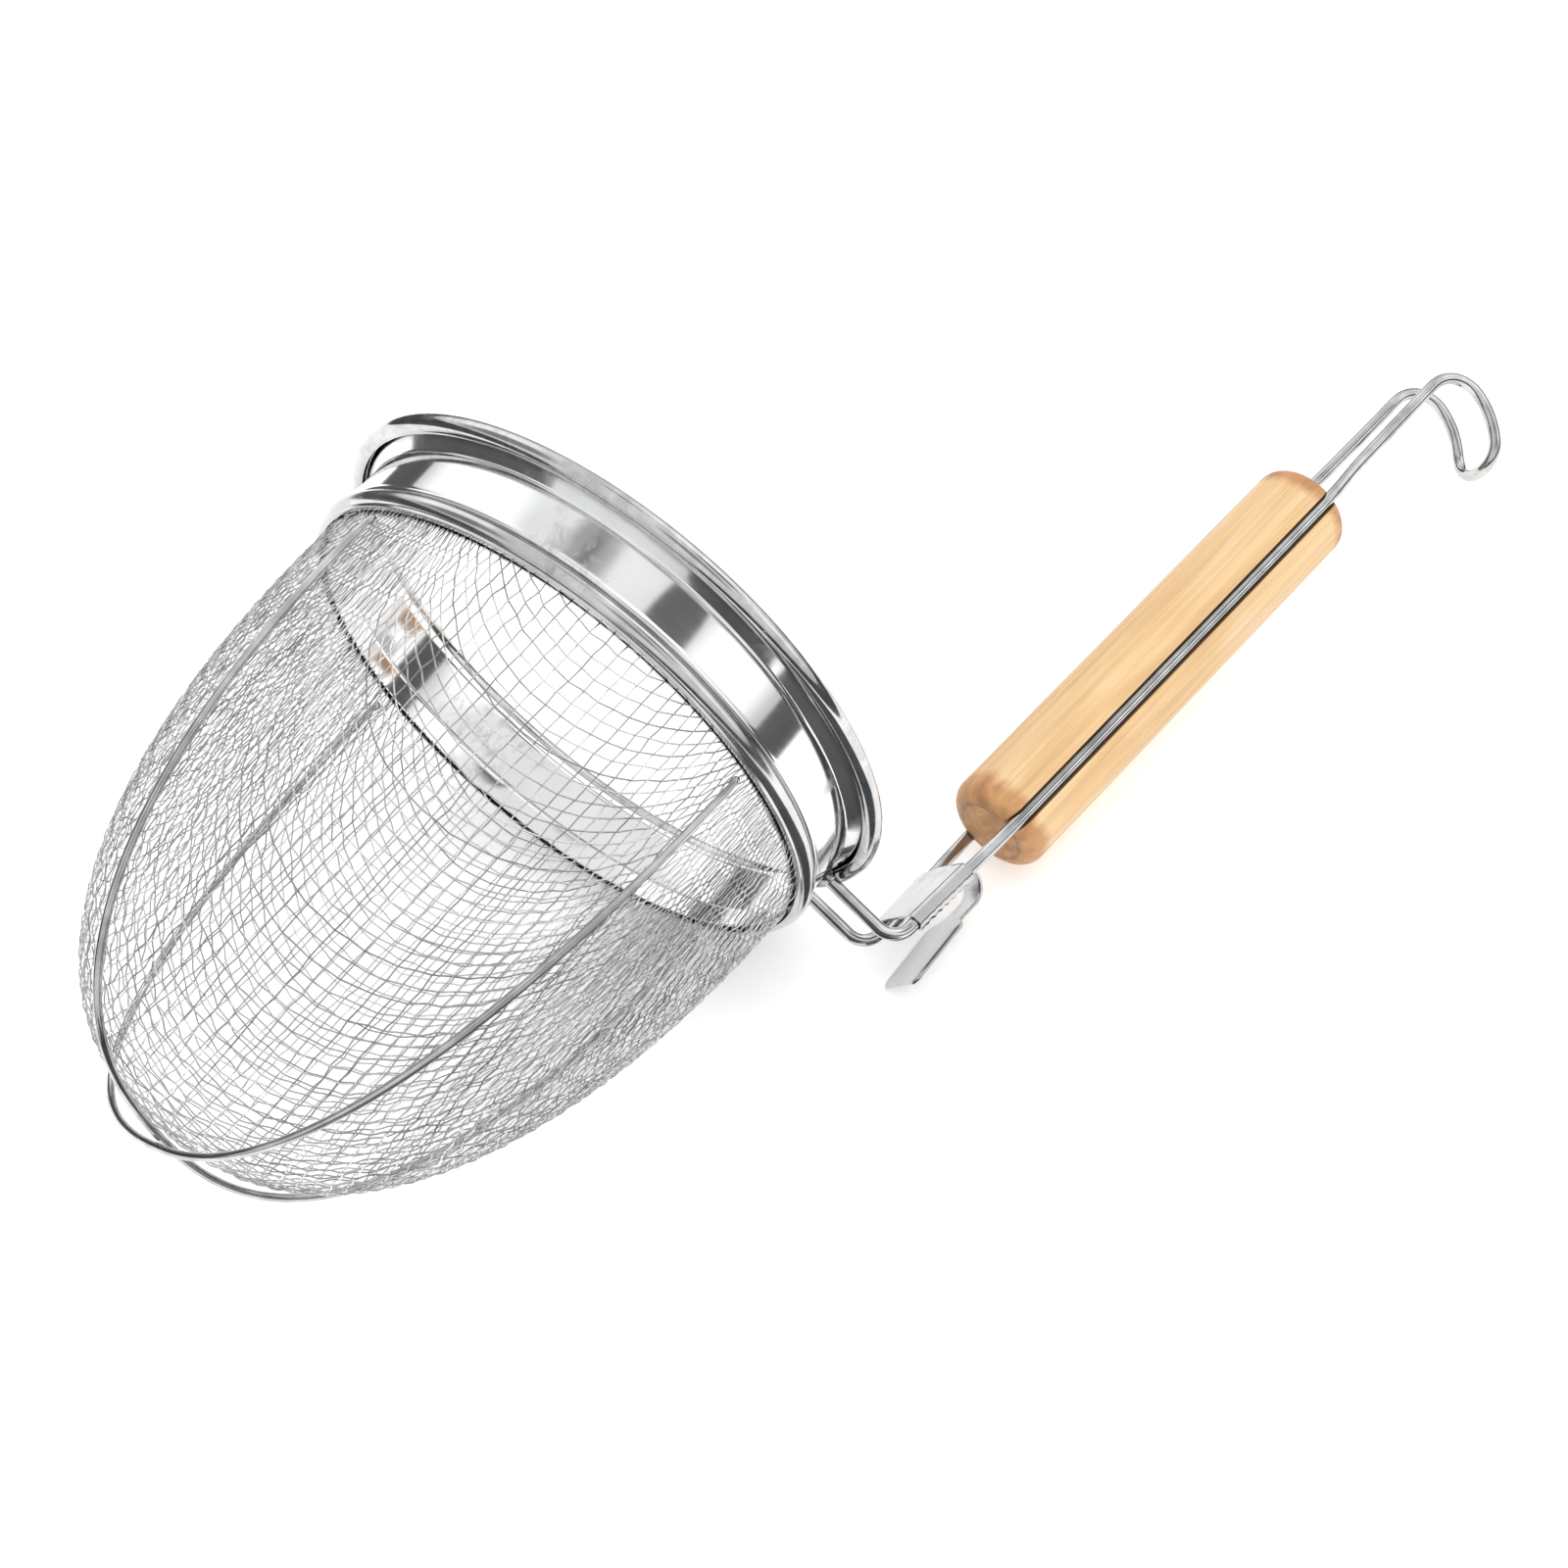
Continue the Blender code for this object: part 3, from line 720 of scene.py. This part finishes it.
# ---- support wires ------------------------------------------------------------------------
def leg_arm(turn, pole_stand_off):
    """One arm of a support wire, from its upper end down to the bottom."""
    bulge, fall = BASKET_ROUND
    outline = []
    for i in range(LEG_POINTS + 1):
        share = math.sin(0.5 * math.pi * i / LEG_POINTS)
        inside = max(0.0, 1.0 - share ** fall)
        outline.append((
            BASKET_SKIN_RADIUS * inside ** (1.0 / bulge),
            CLAMP_HEIGHT - BASKET_SKIN_DEPTH * share,
        ))
    points = []
    for i in range(1, len(outline) - 1):
        height = outline[i][1]
        if height > LEG_START:
            continue
        along = Vector(outline[i + 1]) - Vector(outline[i - 1])
        normal = Vector((-along.y, along.x)).normalized()
        depth = (CLAMP_HEIGHT - height) / BASKET_SKIN_DEPTH
        reach = LEG_STAND_OFF + (pole_stand_off - LEG_STAND_OFF) * depth ** 3
        spot = Vector(outline[i]) + normal * reach
        points.append((spot.x * math.cos(turn), spot.x * math.sin(turn), spot.y))
    return points


def support_wire(name, cad_node, turn_degrees, pole_stand_off, material):
    turn = math.radians(turn_degrees)
    pole = (0.0, 0.0, CLAMP_HEIGHT - BASKET_SKIN_DEPTH - pole_stand_off)
    line = leg_arm(turn, pole_stand_off) + [pole] + leg_arm(turn + math.pi, pole_stand_off)[::-1]
    lean = [(x + BASKET_LEAN * (CLAMP_HEIGHT - z) / BASKET_SKIN_DEPTH, y, z) for x, y, z in line]
    count = len(lean) - 1
    tapered = []
    for i, spot in enumerate(lean):
        tapered.append((*spot, END_SCALE if i in (0, count) else 1.0))
    curve = wires(name, [tapered], LEG_RADIUS, LEG_SIDES)
    add_piece(name, curve, material, cad_node)
    return lean[0], lean[-1]


# ---- handle -------------------------------------------------------------------------------
def handle_point(distance, outward=0.0):
    """Radius and height of a point on the handle's line."""
    return (
        HANDLE_FOOT[0] + distance * math.sin(HANDLE_TILT) + outward * math.cos(HANDLE_TILT),
        HANDLE_FOOT[1] + distance * math.cos(HANDLE_TILT) - outward * math.sin(HANDLE_TILT),
    )


def foot_bend():
    """From the weld out along the flange, then up to the handle's line."""
    turn = math.pi / 2 - HANDLE_TILT
    corner = handle_point((WELD_HEIGHT - HANDLE_FOOT[1]) / math.cos(HANDLE_TILT))
    centre = (corner[0] - FOOT_BEND * math.tan(turn / 2), WELD_HEIGHT + FOOT_BEND)
    bend = arc(centre, FOOT_BEND, -90.0, -math.degrees(HANDLE_TILT), FOOT_BEND_POINTS)
    return [(WELD_START, WELD_HEIGHT), (WELD_START + WELD_RUN, WELD_HEIGHT)] + bend


def hook_line():
    """The hook's line in the handle's plane, and the heading at its end."""
    heading = math.degrees(HANDLE_TILT)
    points = [handle_point(HOOK_START)]
    for radius, end in HOOK_BENDS:
        start = math.radians(heading)
        centre = (
            points[-1][0] + radius * math.cos(start),
            points[-1][1] - radius * math.sin(start),
        )
        count = round((end - heading) / HOOK_STEP)
        points += arc(centre, radius, 180.0 - heading, 180.0 - end, count)[1:]
        heading = end
    return points, heading


def hook_tip(start, heading):
    """The turn that joins the two wires, as (radius, half spread, height)."""
    radius = HOOK_BENDS[-1][0]
    first = math.radians(heading)
    centre = (start[0] + radius * math.cos(first), start[1] - radius * math.sin(first))
    points = []
    for i in range(1, HOOK_TIP_POINTS + 1):
        swing = 0.5 * math.pi * i / HOOK_TIP_POINTS
        turned = math.pi - first - HOOK_HALF * math.sin(swing) / radius
        spot = (centre[0] + radius * math.cos(turned), centre[1] + radius * math.sin(turned))
        points.append((spot[0], HOOK_HALF * math.cos(swing), spot[1]))
    return points


def wire_half_at(distance):
    """Half the distance between the handle's wires at a distance along it."""
    for (low, half_low), (high, half_high) in zip(WIRE_SPREAD, WIRE_SPREAD[1:]):
        if low <= distance <= high:
            return half_low + (half_high - half_low) * (distance - low) / (high - low)
    return WIRE_SPREAD[0][1]


def handle_wire(material):
    near = [(radius, WIRE_SPREAD[0][1], height) for radius, height in foot_bend()]
    spread = fillet(list(WIRE_SPREAD) + [(HOOK_START - HOOK_LEAD, HOOK_HALF)], SPREAD_ROUND)
    for distance, half in spread:
        radius, height = handle_point(distance)
        near.append((radius, half, height))
    hook, heading = hook_line()
    near += [(radius, HOOK_HALF, height) for radius, height in hook]
    near += hook_tip(hook[-1], heading)
    far = [(x, -y, z) for x, y, z in near[:-1]]
    curve = wires("handle_bow", [near + far[::-1]], HANDLE_RADIUS, HANDLE_SIDES)
    add_piece("handle_bow", curve, material, "handle_wire")


def on_handle(distance):
    """A matrix on the handle's line, its Z along the handle."""
    radius, height = handle_point(distance)
    spot = Matrix.Translation((radius * MM, 0.0, height * MM))
    return spot @ Matrix.Rotation(HANDLE_TILT, 4, "Y")


def groove_cutter(side, length):
    """A slot with a round bottom for one wire, open to the outside of the grip."""
    shape = bmesh.new()
    bmesh.ops.create_cone(
        shape, cap_ends=True, segments=GROOVE_SIDES, radius1=GROOVE_RADIUS * MM,
        radius2=GROOVE_RADIUS * MM, depth=length * MM,
    )
    wire_half = WIRE_SPREAD[2][1]
    for corner in shape.verts:
        if corner.co.y > GROOVE_OPEN_FROM * GROOVE_RADIUS * MM:
            corner.co.y += GROOVE_OPEN * MM
        corner.co.y = side * (corner.co.y + wire_half * MM)
    if side < 0:
        bmesh.ops.reverse_faces(shape, faces=shape.faces)
    mesh = bpy.data.meshes.new("groove_cutter")
    shape.to_mesh(mesh)
    shape.free()
    cutter = bpy.data.objects.new("groove_cutter", mesh)
    bpy.context.scene.collection.objects.link(cutter)
    return cutter


def evaluated(obj):
    bpy.context.view_layer.update()
    graph = bpy.context.evaluated_depsgraph_get()
    return bpy.data.meshes.new_from_object(obj.evaluated_get(graph))


def soften_edges(obj, width, sharp_degrees):
    soften = obj.modifiers.new("Soften", "BEVEL")
    soften.width = width * MM
    soften.segments = 2
    soften.limit_method = "ANGLE"
    soften.angle_limit = math.radians(sharp_degrees)


def wooden_grip(material):
    """A turned stick with rounded ends and a groove on each side for the wires."""
    half = (GRIP_SPAN[1] - GRIP_SPAN[0]) / 2
    centre = (GRIP_RADIUS - GRIP_ROUNDING, half - GRIP_ROUNDING)
    upper = arc(centre, GRIP_ROUNDING, 90.0, 0.0, GRIP_ROUNDING_POINTS)
    lower = [(radius, -height) for radius, height in upper[::-1]]
    side = [(GRIP_RADIUS, half * share) for share in GRIP_SHARES]
    face = [(GRIP_RADIUS - 2 * GRIP_ROUNDING, half), (GRIP_AXLE, half)]
    outline = face[::-1] + upper + side + lower + [(face[0][0], -half), (GRIP_AXLE, -half)]
    stick = bpy.data.objects.new("grip_stick", lathe("grip_stick", outline, GRIP_STEPS))
    bpy.context.scene.collection.objects.link(stick)
    close_ends(stick.data)
    cutters = [groove_cutter(side, 2.0 * half + GROOVE_SPARE) for side in (1.0, -1.0)]
    for cutter in cutters:
        step = stick.modifiers.new("Groove", "BOOLEAN")
        step.operation = "DIFFERENCE"
        step.solver = "EXACT"
        step.object = cutter
    soften_edges(stick, GRIP_SOFT, 40.0)
    mesh = evaluated(stick)
    for obj in [stick] + cutters:
        bpy.data.objects.remove(obj, do_unlink=True)
    smooth(mesh, 40.0)
    add_piece("turned_grip", mesh, material, "wooden_grip", on_handle(sum(GRIP_SPAN) / 2))


def close_ends(mesh):
    """Weld a lathed shape's inner line into a solid end."""
    shape = bmesh.new()
    shape.from_mesh(mesh)
    for corner in shape.verts:
        if math.hypot(corner.co.x, corner.co.y) < 1.5 * GRIP_AXLE * MM:
            corner.co.x = corner.co.y = 0.0
    bmesh.ops.remove_doubles(shape, verts=shape.verts, dist=1e-6)
    bmesh.ops.dissolve_degenerate(shape, edges=shape.edges, dist=1e-7)
    bmesh.ops.recalc_face_normals(shape, faces=shape.faces)
    shape.to_mesh(mesh)
    shape.free()


# ---- clip ---------------------------------------------------------------------------------
def sleeve_section(half, height):
    """The sleeve's section at a height: a web with edges rolled and crimped round the wires."""
    wave = (0.5 - 0.5 * math.cos(TAU * height / CRIMP_PITCH)) ** CRIMP_POWER
    ends = min(1.0, CRIMP_FADE * height, CRIMP_FADE * (CLIP_SPAN[1] - CLIP_SPAN[0] - height))
    depth = CRIMP_DEPTH * wave * max(0.0, ends)
    middle = CLIP_BORE + CLIP_SHEET / 2
    left = []
    for i in range(SLEEVE_POINTS + 1):
        degrees = SLEEVE_CURL[0] + SLEEVE_CURL[1] * i / SLEEVE_POINTS
        pressed = math.exp(-((degrees - CRIMP_AT[0]) / CRIMP_AT[1]) ** 2)
        radius = middle - depth * pressed
        turn = math.radians(degrees)
        left.append((radius * math.cos(turn), half + radius * math.sin(turn)))
    right = [(x, -y) for x, y in left[::-1]]
    return sheet_outline(left + right, CLIP_SHEET)


def clip_sleeve(material):
    length = CLIP_SPAN[1] - CLIP_SPAN[0]
    rings = []
    shape = bmesh.new()
    for i in range(SLEEVE_STEPS + 1):
        height = length * i / SLEEVE_STEPS
        section = sleeve_section(wire_half_at(CLIP_SPAN[0] + height), height)
        rings.append([shape.verts.new((x * MM, y * MM, height * MM)) for x, y in section])
    around = len(rings[0])
    for low, high in zip(rings, rings[1:]):
        for i in range(around):
            j = (i + 1) % around
            shape.faces.new((low[i], low[j], high[j], high[i]))
    half = around // 2
    for ring in (rings[0], rings[-1]):
        for i in range(half - 1):
            shape.faces.new((ring[i], ring[i + 1], ring[around - 2 - i], ring[around - 1 - i]))
    bmesh.ops.recalc_face_normals(shape, faces=shape.faces)
    mesh = bpy.data.meshes.new("clip_sleeve")
    shape.to_mesh(mesh)
    shape.free()
    smooth(mesh, 40.0)
    add_piece("clip_sleeve", mesh, material, "handle_clip", on_handle(CLIP_SPAN[0]))


def clip_tongue(material):
    """The strip over the sleeve's top and down outside, which rests on a pot's edge."""
    web = -(CLIP_BORE + CLIP_SHEET / 2)
    top = CLIP_SPAN[1] - CLIP_SPAN[0]
    bend_start = top - TONGUE_BEND_DROP
    rows = [(web, top - TONGUE_ROOT, TONGUE_NECK), (web, bend_start, TONGUE_NECK)]
    bend = arc((web + TONGUE_BEND, bend_start), TONGUE_BEND, 180.0, 0.0, TONGUE_BEND_POINTS)[1:]
    rows += [(x, z, TONGUE_NECK) for x, z in bend]
    outer = web + 2.0 * TONGUE_BEND
    shoulder = TONGUE_SHOULDER - CLIP_SPAN[0]
    foot = TONGUE_FOOT - CLIP_SPAN[0]
    edge = fillet([
        (bend_start - TONGUE_BEND_END, TONGUE_NECK),
        (shoulder + TONGUE_SLOPE, TONGUE_NECK),
        (shoulder - TONGUE_SLOPE, TONGUE_BLADE),
        (foot + TONGUE_CORNER[0], TONGUE_BLADE),
        (foot, TONGUE_BLADE - TONGUE_CORNER[1]),
    ], TONGUE_ROUND)
    blade_length = shoulder - TONGUE_SLOPE - foot
    for height, half in edge:
        flare = max(0.0, (shoulder - TONGUE_SLOPE - height) / blade_length)
        rows.append((outer + TONGUE_FLARE * flare ** TONGUE_FLARE_POWER, height, half))
    points = [
        (x * MM, share * half * MM, z * MM) for x, z, half in rows for share in TONGUE_SHARES
    ]
    wide = len(TONGUE_SHARES)
    faces = [
        (i * wide + j, i * wide + j + 1, (i + 1) * wide + j + 1, (i + 1) * wide + j)
        for i in range(len(rows) - 1) for j in range(wide - 1)
    ]
    strip_mesh = bpy.data.meshes.new("clip_tongue")
    strip_mesh.from_pydata(points, [], faces)
    strip = bpy.data.objects.new("tongue_strip", strip_mesh)
    bpy.context.scene.collection.objects.link(strip)
    solid = strip.modifiers.new("Sheet", "SOLIDIFY")
    solid.thickness = TONGUE_SHEET * MM
    solid.offset = 0.0
    soften_edges(strip, TONGUE_SOFT, 50.0)
    mesh = evaluated(strip)
    bpy.data.objects.remove(strip, do_unlink=True)
    smooth(mesh, 40.0)
    add_piece("clip_tongue", mesh, material, "handle_clip", on_handle(CLIP_SPAN[0]))


# ---- welds --------------------------------------------------------------------------------
def weld_bead(name, spot, size, seed, material):
    """A small lumpy bead of weld metal, lengths in millimetres."""
    shape = bmesh.new()
    bmesh.ops.create_icosphere(shape, subdivisions=3, radius=1.0)
    lumps = np.random.default_rng(seed).normal(0.0, 1.0, (LUMPS, 3))
    for corner in shape.verts:
        way = np.array(corner.co)
        waves = sum(math.sin(LUMP_RATE * float(way @ lump)) for lump in lumps)
        swell = 1.0 + LUMP_SWELL * waves / LUMP_SHARE
        corner.co = Vector([way[k] * size[k] * swell + spot[k] for k in range(3)]) * MM
    mesh = bpy.data.meshes.new(name)
    shape.to_mesh(mesh)
    shape.free()
    smooth(mesh, 180.0)
    add_piece(name, mesh, material, None)


# ---- studio -------------------------------------------------------------------------------
def floor_material():
    n = Nodes("studio_floor")
    cloud = n.noise((3.0, 3.0, 3.0), detail=2.0)
    n.link(n.ramp(cloud, ((0.3, 0.90), (0.7, 0.93))), n.shader.inputs["Base Color"])
    n.shader.inputs["Roughness"].default_value = 0.9
    n.shader.inputs["Specular IOR Level"].default_value = 0.1
    n.shader.inputs["Emission Color"].default_value = (1.0, 1.0, 1.0, 1.0)
    n.shader.inputs["Emission Strength"].default_value = FLOOR_GLOW
    return n.material


def studio_floor():
    mesh = bpy.data.meshes.new("studio_floor")
    reach = FLOOR_REACH
    mesh.from_pydata(
        [(-reach, -reach, 0.0), (reach, -reach, 0.0), (reach, reach, 0.0), (-reach, reach, 0.0)],
        [], [(0, 1, 2, 3)],
    )
    mesh.materials.append(floor_material())
    floor = bpy.data.objects.new("studio_floor", mesh)
    bpy.context.scene.collection.objects.link(floor)


def studio_flags():
    """A dark wall round the table and a dark card on it, which only glossy rays see."""
    count = len(FLAG_WALL)
    points = []
    for azimuth, height in FLAG_WALL:
        turn = math.radians(azimuth)
        x, y = FLAG_REACH * math.cos(turn), FLAG_REACH * math.sin(turn)
        points += [(x, y, 0.0), (x, y, height)]
    faces = [(2 * i, 2 * i + 2, 2 * i + 3, 2 * i + 1) for i in range(count - 1)]
    first = len(points)
    points += [(x, y, FLAG_LIFT) for x, y in FLAG_CARD]
    faces.append(tuple(range(first, len(points))))
    mesh = bpy.data.meshes.new("studio_flags")
    mesh.from_pydata(points, [], faces)
    n = Nodes("studio_flags")
    black = n.ramp(n.noise((4.0, 4.0, 4.0)), ((0.3, 0.04), (0.7, 0.10)))
    n.link(black, n.shader.inputs["Base Color"])
    n.shader.inputs["Roughness"].default_value = 1.0
    mesh.materials.append(n.material)
    flags = bpy.data.objects.new("studio_flags", mesh)
    bpy.context.scene.collection.objects.link(flags)
    flags.visible_camera = False
    flags.visible_diffuse = False
    flags.visible_shadow = False
    flags.visible_transmission = False


def direction(azimuth, elevation):
    flat = math.cos(math.radians(elevation))
    return Vector((
        math.cos(math.radians(azimuth)) * flat,
        math.sin(math.radians(azimuth)) * flat,
        math.sin(math.radians(elevation)),
    ))


def studio_world():
    """Plain white for all rays but glossy ones, which see a room with darker and brighter areas."""
    world = bpy.data.worlds.new("studio")
    bpy.context.scene.world = world
    world.use_nodes = True
    tree = world.node_tree
    tree.nodes.clear()

    def add(kind, **values):
        node = tree.nodes.new(kind)
        for key, value in values.items():
            setattr(node, key, value)
        return node

    way = add("ShaderNodeTexCoord").outputs["Generated"]
    parts = add("ShaderNodeSeparateXYZ")
    tree.links.new(way, parts.inputs[0])
    height = add("ShaderNodeValToRGB")
    elements = height.color_ramp.elements
    while len(elements) < len(ROOM_GREYS):
        elements.new(0.5)
    for element, (position, grey) in zip(elements, ROOM_GREYS):
        element.position = position
        element.color = (grey, grey, grey, 1.0)
    tree.links.new(parts.outputs["Z"], height.inputs["Fac"])
    light = height.outputs["Color"]
    for azimuth, elevation, reach, soft, factor in SCREENS:
        dot = add("ShaderNodeVectorMath", operation="DOT_PRODUCT")
        tree.links.new(way, dot.inputs[0])
        dot.inputs[1].default_value = direction(azimuth, elevation)
        shade = add("ShaderNodeMapRange")
        tree.links.new(dot.outputs["Value"], shade.inputs["Value"])
        shade.inputs["From Min"].default_value = math.cos(math.radians(reach + soft))
        shade.inputs["From Max"].default_value = math.cos(math.radians(reach))
        shade.inputs["To Min"].default_value = 1.0
        shade.inputs["To Max"].default_value = factor
        scale = add("ShaderNodeVectorMath", operation="SCALE")
        tree.links.new(light, scale.inputs[0])
        tree.links.new(shade.outputs["Result"], scale.inputs["Scale"])
        light = scale.outputs["Vector"]
    plain = add("ShaderNodeBackground")
    plain.inputs["Color"].default_value = (1.0, 1.0, 1.0, 1.0)
    plain.inputs["Strength"].default_value = WORLD_STRENGTH
    mirrored = add("ShaderNodeBackground")
    mirrored.inputs["Strength"].default_value = WORLD_STRENGTH
    tree.links.new(light, mirrored.inputs["Color"])
    path = add("ShaderNodeLightPath")
    pick = add("ShaderNodeMixShader")
    tree.links.new(path.outputs["Is Glossy Ray"], pick.inputs[0])
    tree.links.new(plain.outputs[0], pick.inputs[1])
    tree.links.new(mirrored.outputs[0], pick.inputs[2])
    out = add("ShaderNodeOutputWorld")
    tree.links.new(pick.outputs[0], out.inputs["Surface"])


def studio_light(name, azimuth, elevation, distance, size, power):
    """A soft box that faces the strainer, left out of reflections."""
    data = bpy.data.lights.new(name, "AREA")
    data.shape = "SQUARE"
    data.size = size
    data.energy = power
    light = bpy.data.objects.new(name, data)
    bpy.context.scene.collection.objects.link(light)
    way = direction(azimuth, elevation)
    light.location = RING_CENTRE + way * distance
    light.rotation_euler = way.to_track_quat("Z", "Y").to_euler()
    light.visible_glossy = False


def photo_camera():
    data = bpy.data.cameras.new("photo_camera")
    data.lens = CAMERA_LENS
    data.sensor_width = CAMERA_SENSOR
    data.clip_start = CAMERA_NEAR
    camera = bpy.data.objects.new("photo_camera", data)
    bpy.context.scene.collection.objects.link(camera)
    right = Vector(CAMERA_RIGHT)
    up = Vector(CAMERA_UP)
    axes = Matrix((right, up, right.cross(up))).transposed().to_4x4()
    camera.matrix_world = Matrix.Translation(RING_CENTRE + Vector(CAMERA_OFFSET)) @ axes
    bpy.context.scene.camera = camera


def main():
    photo_camera()
    studio_floor()
    studio_flags()
    studio_world()
    studio_light("key", *KEY_LIGHT)
    studio_light("fill", *FILL_LIGHT)

    polished = steel(
        "polished_steel", light=(0.84, 0.845, 0.85), dark=(0.74, 0.745, 0.75),
        rough=(0.05, 0.13), grain=(60.0, 60.0, 1400.0), grain_depth=0.0012,
        smudge=55.0, stain=0.45, painted_shade_radius=BEAD_CENTRE - BEAD_OUTER,
    )
    pressed = steel(
        "pressed_steel", light=(0.66, 0.665, 0.67), dark=(0.50, 0.505, 0.51),
        rough=(0.10, 0.20), grain=(60.0, 60.0, 1400.0), grain_depth=0.002,
        smudge=120.0, stain=0.5,
    )
    drawn = steel(
        "wire_steel", light=(0.62, 0.625, 0.63), dark=(0.40, 0.405, 0.41),
        rough=(0.05, 0.13), grain=(900.0, 900.0, 900.0), grain_depth=0.004,
        smudge=140.0, stain=0.35,
    )
    stamped = steel(
        "clip_steel", light=(0.60, 0.60, 0.605), dark=(0.49, 0.495, 0.50),
        rough=(0.14, 0.26), grain=(1500.0, 1500.0, 90.0), grain_depth=0.004,
        smudge=110.0, stain=0.3,
    )
    cloth = woven_steel("mesh_steel")
    wood = maple("maple")

    core_wire = bpy.data.objects["rim_core_wire"].data
    core_wire.materials.clear()
    core_wire.materials.append(drawn)
    rim_band(polished)
    clamp_ring(pressed)
    woven_basket(cloth)
    ends = support_wire(
        "support_inner", "support_wire_inner", LEG_TURN, LEG_POLE_STAND_OFF, drawn,
    )
    ends += support_wire(
        "support_outer", "support_wire_outer", LEG_TURN + 90.0,
        LEG_POLE_STAND_OFF + LEG_CROSSING, drawn,
    )
    handle_wire(drawn)
    wooden_grip(wood)
    clip_sleeve(stamped)
    clip_tongue(stamped)
    for i, end in enumerate(ends):
        spot = [BRAZE_IN * v for v in end]
        weld_bead(f"braze_{i + 1}", spot, BRAZE_SIZE, BRAZE_SEED + i, drawn)
    for i, side in enumerate((1.0, -1.0)):
        foot = (WELD_START + FOOT_WELD_OUT, side * WIRE_SPREAD[0][1], WELD_HEIGHT)
        weld_bead(f"foot_weld_{i + 1}", foot, FOOT_WELD_SIZE, FOOT_WELD_SEED + i, drawn)

    bpy.context.scene.view_settings.view_transform = "Standard"


main()
